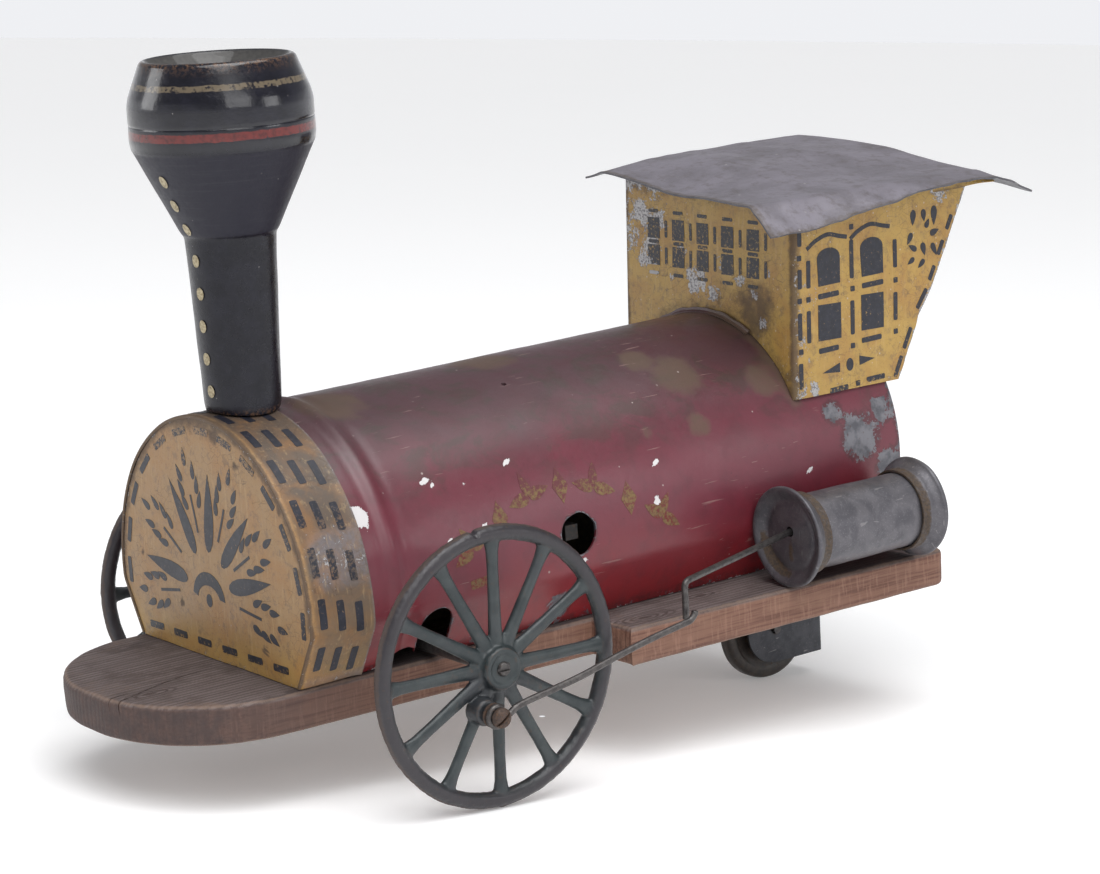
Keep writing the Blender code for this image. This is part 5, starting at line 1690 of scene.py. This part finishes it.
def cylinder_barrel(side, hand, paint):
    """Rolled tin with a lapped, soldered seam underneath."""
    front = train_box("cylinder_barrel_" + side)[0].y
    rows = []
    for i in range(57):
        y = front + (CYL_REAR - 2.5 - front) * i / 56
        row = []
        for k in range(96):
            a = math.tau * k / 96
            seam = 0.35 * smooth(abs(math.atan2(math.sin(a + math.pi / 2), math.cos(a + math.pi / 2))),
                                 0.30, 0.22)
            r = BARREL_R - 0.08 + seam * 0.4 + ripple((math.cos(a) * 13, y, math.sin(a) * 13), 11, 0.28,
                                                      6 + hand)
            row.append((hand * CYL_X + r * math.cos(a), y, CYL_Z + r * math.sin(a)))
        rows.append(row)
    barrel = outward(raw("barrel_tube_" + side, *grid(rows, closed=True)))
    middle = barrel.data.polygons[10]
    towards = middle.center / MM - Vector((hand * CYL_X, middle.center.y / MM, CYL_Z))
    modify(barrel, "SOLIDIFY", thickness=0.7 * MM, offset=-1.0 if middle.normal.dot(towards) > 0 else 1.0)
    apply_all(barrel)
    tell(barrel, "rust", lambda p: max(smooth(p.y, CYL_FRONT + 12, CYL_FRONT + 6) * 0.45,
                                       smooth(p.y, CYL_REAR - 12, CYL_REAR - 6) * 0.45,
                                       smooth(p.z, CYL_Z - 9, CYL_Z - 13) * 0.5))
    return show(barrel, paint, "locomotive", ["cylinder_barrel_" + side], 60)


# --- rear wheel and bracket -----------------------------------------------------------
def rear_wheel(paint):
    profile = [(REAR_BORE_R, 3.6), (2.2, 3.95), (4.6, 3.95), (5.3, 3.6), (5.8, 3.0), (7.0, 2.7),
               (14.5, 2.5), (15.6, 2.9), (17.6, 2.9), (18.6, 2.5),
               (19.0, 1.7), (19.05, 0.4), (18.95, -0.6), (19.0, -1.7), (18.6, -2.5), (17.6, -2.9),
               (15.6, -2.9), (14.5, -2.5), (7.0, -2.7),
               (5.8, -3.0), (5.3, -3.6), (4.6, -3.95), (2.2, -3.95), (REAR_BORE_R, -3.6),
               (REAR_BORE_R, 3.6)]
    line = [tuple(p) for p in eased(profile, 0.3, 2)]
    line[-1] = line[0]
    wheel = lathe("tail_wheel", line, at(0, REAR_AXLE_Y, REAR_AXLE_Z, turn_about("Y", 90)), 110,
                  wobble=0.10)
    tell(wheel, "edge", lambda p: smooth(math.hypot(p.y - REAR_AXLE_Y, p.z - REAR_AXLE_Z), 18.0, 18.9)
         * 0.7)
    return show(wheel, paint, "rear_wheel", ["rear_wheel"], 35)


def tail_bracket(paint):
    """A folded tin fork: two cheeks, a back and a foot nailed under the board."""
    low, high = train_box("rear_bracket")
    fold, half, cheek_r = 1.1, high.x, 12.5
    y1, z1, z0 = high.y, high.z, low.z

    def path(edge_y, z):
        """Round the fork at one height, from the left cheek's front to the right's."""
        points = [(half, edge_y + (y1 - fold - edge_y) * t / 14) for t in range(15)]
        points += [(half - fold + fold * math.cos(a), y1 - fold + fold * math.sin(a))
                   for a in (math.pi / 8 * k for k in range(1, 4))]
        points += [(half - fold - 2 * (half - fold) * t / 8, y1) for t in range(9)]
        points += [(-half + fold - fold * math.sin(a), y1 - fold + fold * math.cos(a))
                   for a in (math.pi / 8 * k for k in range(1, 4))]
        points += [(-half, y1 - fold - (y1 - fold - edge_y) * t / 14) for t in range(1, 15)]
        return [(x + ripple((x, y, z), 8, 0.12) * (1 if x > 0 else -1) * 0.5, y, z) for x, y in points]
    rows = []
    for i in range(31):
        z = z0 + 0.02 + (z1 - TIN * 0.5 - z0) * i / 30
        down = max(0.0, REAR_AXLE_Z - z)
        rows.append(path(REAR_AXLE_Y - math.sqrt(max(0.0, cheek_r ** 2 - down ** 2)), z))
    sheet = raw("fork_sheet", *grid(rows))
    modify(sheet, "SOLIDIFY", thickness=TIN * MM, offset=-1.0)
    apply_all(sheet)
    top = raw("fork_top", *solid([[(x * (half - 0.2), y, z)
                                   for x, y in ((1, 166.7), (1, y1 - 0.4), (-1, y1 - 0.4), (-1, 166.7))]
                                  for z in (z1 - TIN, z1)]))
    outward(top)
    bm = bmesh.new()
    for part in (sheet, top):
        bm.from_mesh(part.data)
    bm.to_mesh(sheet.data)
    bm.free()
    bpy.data.objects.remove(top)
    outward(sheet)
    bore = prism("bore_tool", circle(REAR_BORE_R, 20, (REAR_AXLE_Y, REAR_AXLE_Z)), "x", -20, 20)
    nails = [prism("nail_tool", circle(0.95, 12, (0, ny)), "z", z1 - 4, z1 + 3) for ny in (170.5, 196.0)]
    carve(sheet, bore, *nails)
    tell(sheet, "rust", lambda p: max(smooth(p.z, z0 + 4, z0) * 0.4,
                                      smooth(math.hypot(p.y - REAR_AXLE_Y, p.z - REAR_AXLE_Z), 5, 2) * 0.6))
    return show(sheet, paint, "locomotive", ["rear_bracket"], 35)


# --- the build ------------------------------------------------------------------------
red, ochre, ink, gold = boiler_red(), ochre_paint(), stencil_ink(), gold_leaf_paint()
cap_tin = tinplate("dirty_lid_tinplate", 0.10)
tin = tinplate("cylinder_tinplate")
dark_tin = tinplate("bracket_tinplate", 0.85)
inside_tin = tinplate("inner_tinplate", 0.2)
iron = cast_iron()
wire = old_steel("dark_wire_steel", (0.105, 0.098, 0.095), (0.060, 0.055, 0.055), 0.15, 0.75, 0.30, 0.50)
black_steel = old_steel("blackened_arbor_steel", (0.016, 0.015, 0.015), (0.026, 0.021, 0.019), 0.3, 0.25,
                        0.5, 0.7)
dull_brass = old_steel("blackened_gear_brass", (0.085, 0.060, 0.030), (0.040, 0.030, 0.018), 0.2, 0.5, 0.45,
                       0.65)
rusty = old_steel("rusty_screw_steel", (0.095, 0.062, 0.048), (0.055, 0.040, 0.035), 0.8, 0.45, 0.45, 0.65)
steel = old_steel("arbor_steel", (0.20, 0.195, 0.195), (0.12, 0.115, 0.115), 0.1, 0.9, 0.25, 0.45)
spring = old_steel("blued_spring_steel", (0.045, 0.055, 0.085), (0.07, 0.06, 0.07), 0.12, 0.9, 0.25, 0.45)
tail_black = old_steel("rear_wheel_black_paint", (0.022, 0.018, 0.016), (0.040, 0.030, 0.024), 0.25, 0.05,
                       0.30, 0.52)
wood_black, clock_brass = black_wood(89.0, 91.6, 104.4, 106.2), brass()

base_board(board_wood(KNOTS))
smokebox_band(ochre, inside_tin)
smokebox_face(ochre, inside_tin)
# The boiler's inner tin is made dark: painted shade inside the shell, so the key hole reads dark.
boiler_shell(red, tinplate("boiler_inner_painted_shade_tinplate", 0.75))
smokestack(wood_black)
stack_dots(gold_dots())
cab_body(ochre, inside_tin)
cab_tab(ochre)
saddle_lip(red)
cab_roof(roof_paint(), inside_tin)

face_film = film("face_stencil", face_marks(), lambda a, b: (a, face_front(a, b) - FILM_LIFT, b))
tell(face_film, "fade", lambda p: max(smooth(p.z, 50, 66) * 0.55, smooth(p.x, 34, 48) * 0.3,
                                      smooth(p.z, 4, -1) * 0.4, 0.08))
tell(face_film, "wear", 0.05)
tell(face_film, "stain_and_shade", lambda p: smooth(p.z, 62, 72) * 0.35)
show(face_film, ink, "locomotive")

band_film = film("band_stencil", band_marks(), lambda a, b: band_point(a, b, FILM_LIFT))
tell(band_film, "fade", lambda p: 0.10 + 0.40 * smooth(p.z, 58, 44) * smooth(p.z, 18, 30))
tell(band_film, "wear", 0.15)
tell(band_film, "stain_and_shade", 0.25)
show(band_film, ink, "locomotive")

boiler_film = film("boiler_ornament", boiler_ornament(), lambda a, b: flank_point(a, b, FILM_LIFT))
tell(boiler_film, "fade", lambda p: 0.35 + 0.35 * smooth(p.z, 38, 48))
show(boiler_film, gold, "locomotive")

for hand, side in ((1, "left"), (-1, "right")):
    windows = film("cab_windows_" + side, side_marks(), lambda a, b: side_point(a, b, FILM_LIFT, hand))
    tell(windows, "fade", lambda p: 0.10 + 0.25 * smooth(p.z, 62, 54))
    tell(windows, "wear", lambda p: 0.42 * smooth(math.hypot(p.y - 172, p.z - 88), 9, 3))
    # The stain near the top is painted shade under the roof's eave.
    tell(windows, "stain_and_shade", lambda p: smooth(p.z, 112, 121) * 0.4)
    show(windows, ink, "locomotive")

panes = film("cab_front_panes", front_marks(), lambda a, b: front_point(a, b, FILM_LIFT))
tell(panes, "fade", 0.3)
tell(panes, "wear", lambda p: 0.55 * smooth(p.x, -16, -36) + 0.3 * smooth(p.z, 97, 92))
tell(panes, "stain_and_shade", 0.25)
show(panes, ink, "locomotive")

for hand, side in ((1, "left"), (-1, "right")):
    drive_wheel(side, hand, iron)
    crank_screw(side, hand, rusty)
    crank_washer(side, hand, rusty)
    connecting_rod(side, hand, wire)
    piston_rod(side, hand, wire)
    cylinder_barrel(side, hand, tin)
    cylinder_cap(side, hand, "front", cap_tin)
    cylinder_cap(side, hand, "rear", cap_tin)
drive_axle(wire)
rear_wheel(tail_black)
tail_bracket(dark_tin)

# The movement and the small fixings keep their CAD shapes, with softened edges.
KEPT = {"axle_pinion": clock_brass, "great_wheel": dull_brass, "intermediate_wheel": clock_brass,
        "intermediate_pinion": steel, "intermediate_arbor": steel, "winding_arbor": black_steel,
        "ratchet_wheel": black_steel,
        "click": steel, "click_rivet": steel, "click_spring": spring, "mainspring": spring,
        "movement_plate_left": dull_brass, "movement_plate_right": dull_brass, "smokestack_screw": rusty,
        "bracket_nail_front": rusty, "bracket_nail_rear": rusty, "rear_axle": wire}
for i in range(1, 5):
    KEPT["movement_pillar_%d" % i] = steel
for corner in ("front_left", "front_right", "rear_left", "rear_right"):
    KEPT["plate_tack_" + corner] = rusty
for name, paint in KEPT.items():
    node = NODES[name]
    node.data.materials.clear()
    node.data.materials.append(paint)
    modify(node, "BEVEL", width=0.12 * MM, segments=2, limit_method="ANGLE", angle_limit=math.radians(40))
    for polygon in node.data.polygons:
        polygon.use_smooth = True
    node.data.set_sharp_from_angle(angle=math.radians(32))


# --- studio ---------------------------------------------------------------------------
floor_z = min((ob.matrix_world @ vertex.co).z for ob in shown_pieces() for vertex in ob.data.vertices)
floor_rings = [[(r * math.cos(a), r * math.sin(a), floor_z / MM)
                for a in (math.tau * k / 64 for k in range(64))]
               for r in (1, 400, 1500, 6000)]
floor_points, floor_faces = grid(floor_rings, closed=True)
floor = raw("studio_floor", floor_points, floor_faces, Matrix.Identity(4))
floor.data.materials.append(floor_paint())
floor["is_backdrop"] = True


LAMP_AIM = Vector((0.0, 0.0, 0.09))


def lamp(name, place, energy, wide, tall):
    """A soft box, turned toward the middle of the toy."""
    data = bpy.data.lights.new(name, "AREA")
    data.shape, data.size, data.size_y, data.energy = "RECTANGLE", wide, tall, energy
    ob = bpy.data.objects.new(name, data)
    ob.location = place
    ob.rotation_euler = (LAMP_AIM - Vector(place)).to_track_quat("-Z", "Y").to_euler()
    bpy.context.scene.collection.objects.link(ob)


lamp("overhead_soft_box", (0.35, 0.15, 1.55), 10, 1.3, 1.0)
lamp("side_soft_box", (1.45, -0.35, 0.85), 4.5, 0.9, 0.6)
lamp("left_soft_box", (-0.9, -1.1, 0.55), 2.8, 0.55, 0.5)
lamp("right_soft_box", (1.5, 0.9, 0.7), 3.6, 0.65, 0.55)

sun = bpy.data.lights.new("broad_daylight", "SUN")
sun.energy, sun.angle = 1.75, math.radians(50)
daylight = bpy.data.objects.new("broad_daylight", sun)
daylight.rotation_euler = Vector((0.45, -0.25, 1.0)).to_track_quat("Z", "Y").to_euler()
bpy.context.scene.collection.objects.link(daylight)

scene = bpy.context.scene
scene.view_settings.view_transform = "Standard"
world = bpy.data.worlds.new("studio_world")
world.use_nodes = True
sky = world.node_tree
sky_way = sky.nodes.new("ShaderNodeTexCoord")
sky_split = sky.nodes.new("ShaderNodeSeparateXYZ")
sky_level = sky.nodes.new("ShaderNodeMapRange")
sky.links.new(sky_way.outputs["Generated"], sky_split.inputs[0])
sky.links.new(sky_split.outputs["Z"], sky_level.inputs["Value"])
sky_level.interpolation_type = "SMOOTHSTEP"
for socket, value in (("From Min", 0.02), ("From Max", 0.30), ("To Min", 0.90), ("To Max", 0.28)):
    sky_level.inputs[socket].default_value = value
sky.links.new(sky_level.outputs[0], sky.nodes["Background"].inputs["Strength"])
sky.nodes["Background"].inputs["Color"].default_value = (0.96, 0.97, 1.0, 1.0)
scene.world = world

camera = bpy.data.cameras.new("photo_camera")
camera.sensor_width, camera.lens = 36.0, 104.82
eye = bpy.data.objects.new("photo_camera", camera)
eye.location = (0.8679, -0.6484, 0.2757)
look = Vector((0.0, 0.0026, 0.09785)) - eye.location
roll = Matrix.Rotation(math.radians(0.375), 3, "Z")
eye.rotation_euler = (look.to_track_quat("-Z", "Y").to_matrix() @ roll).to_euler()
scene.collection.objects.link(eye)
scene.camera = eye
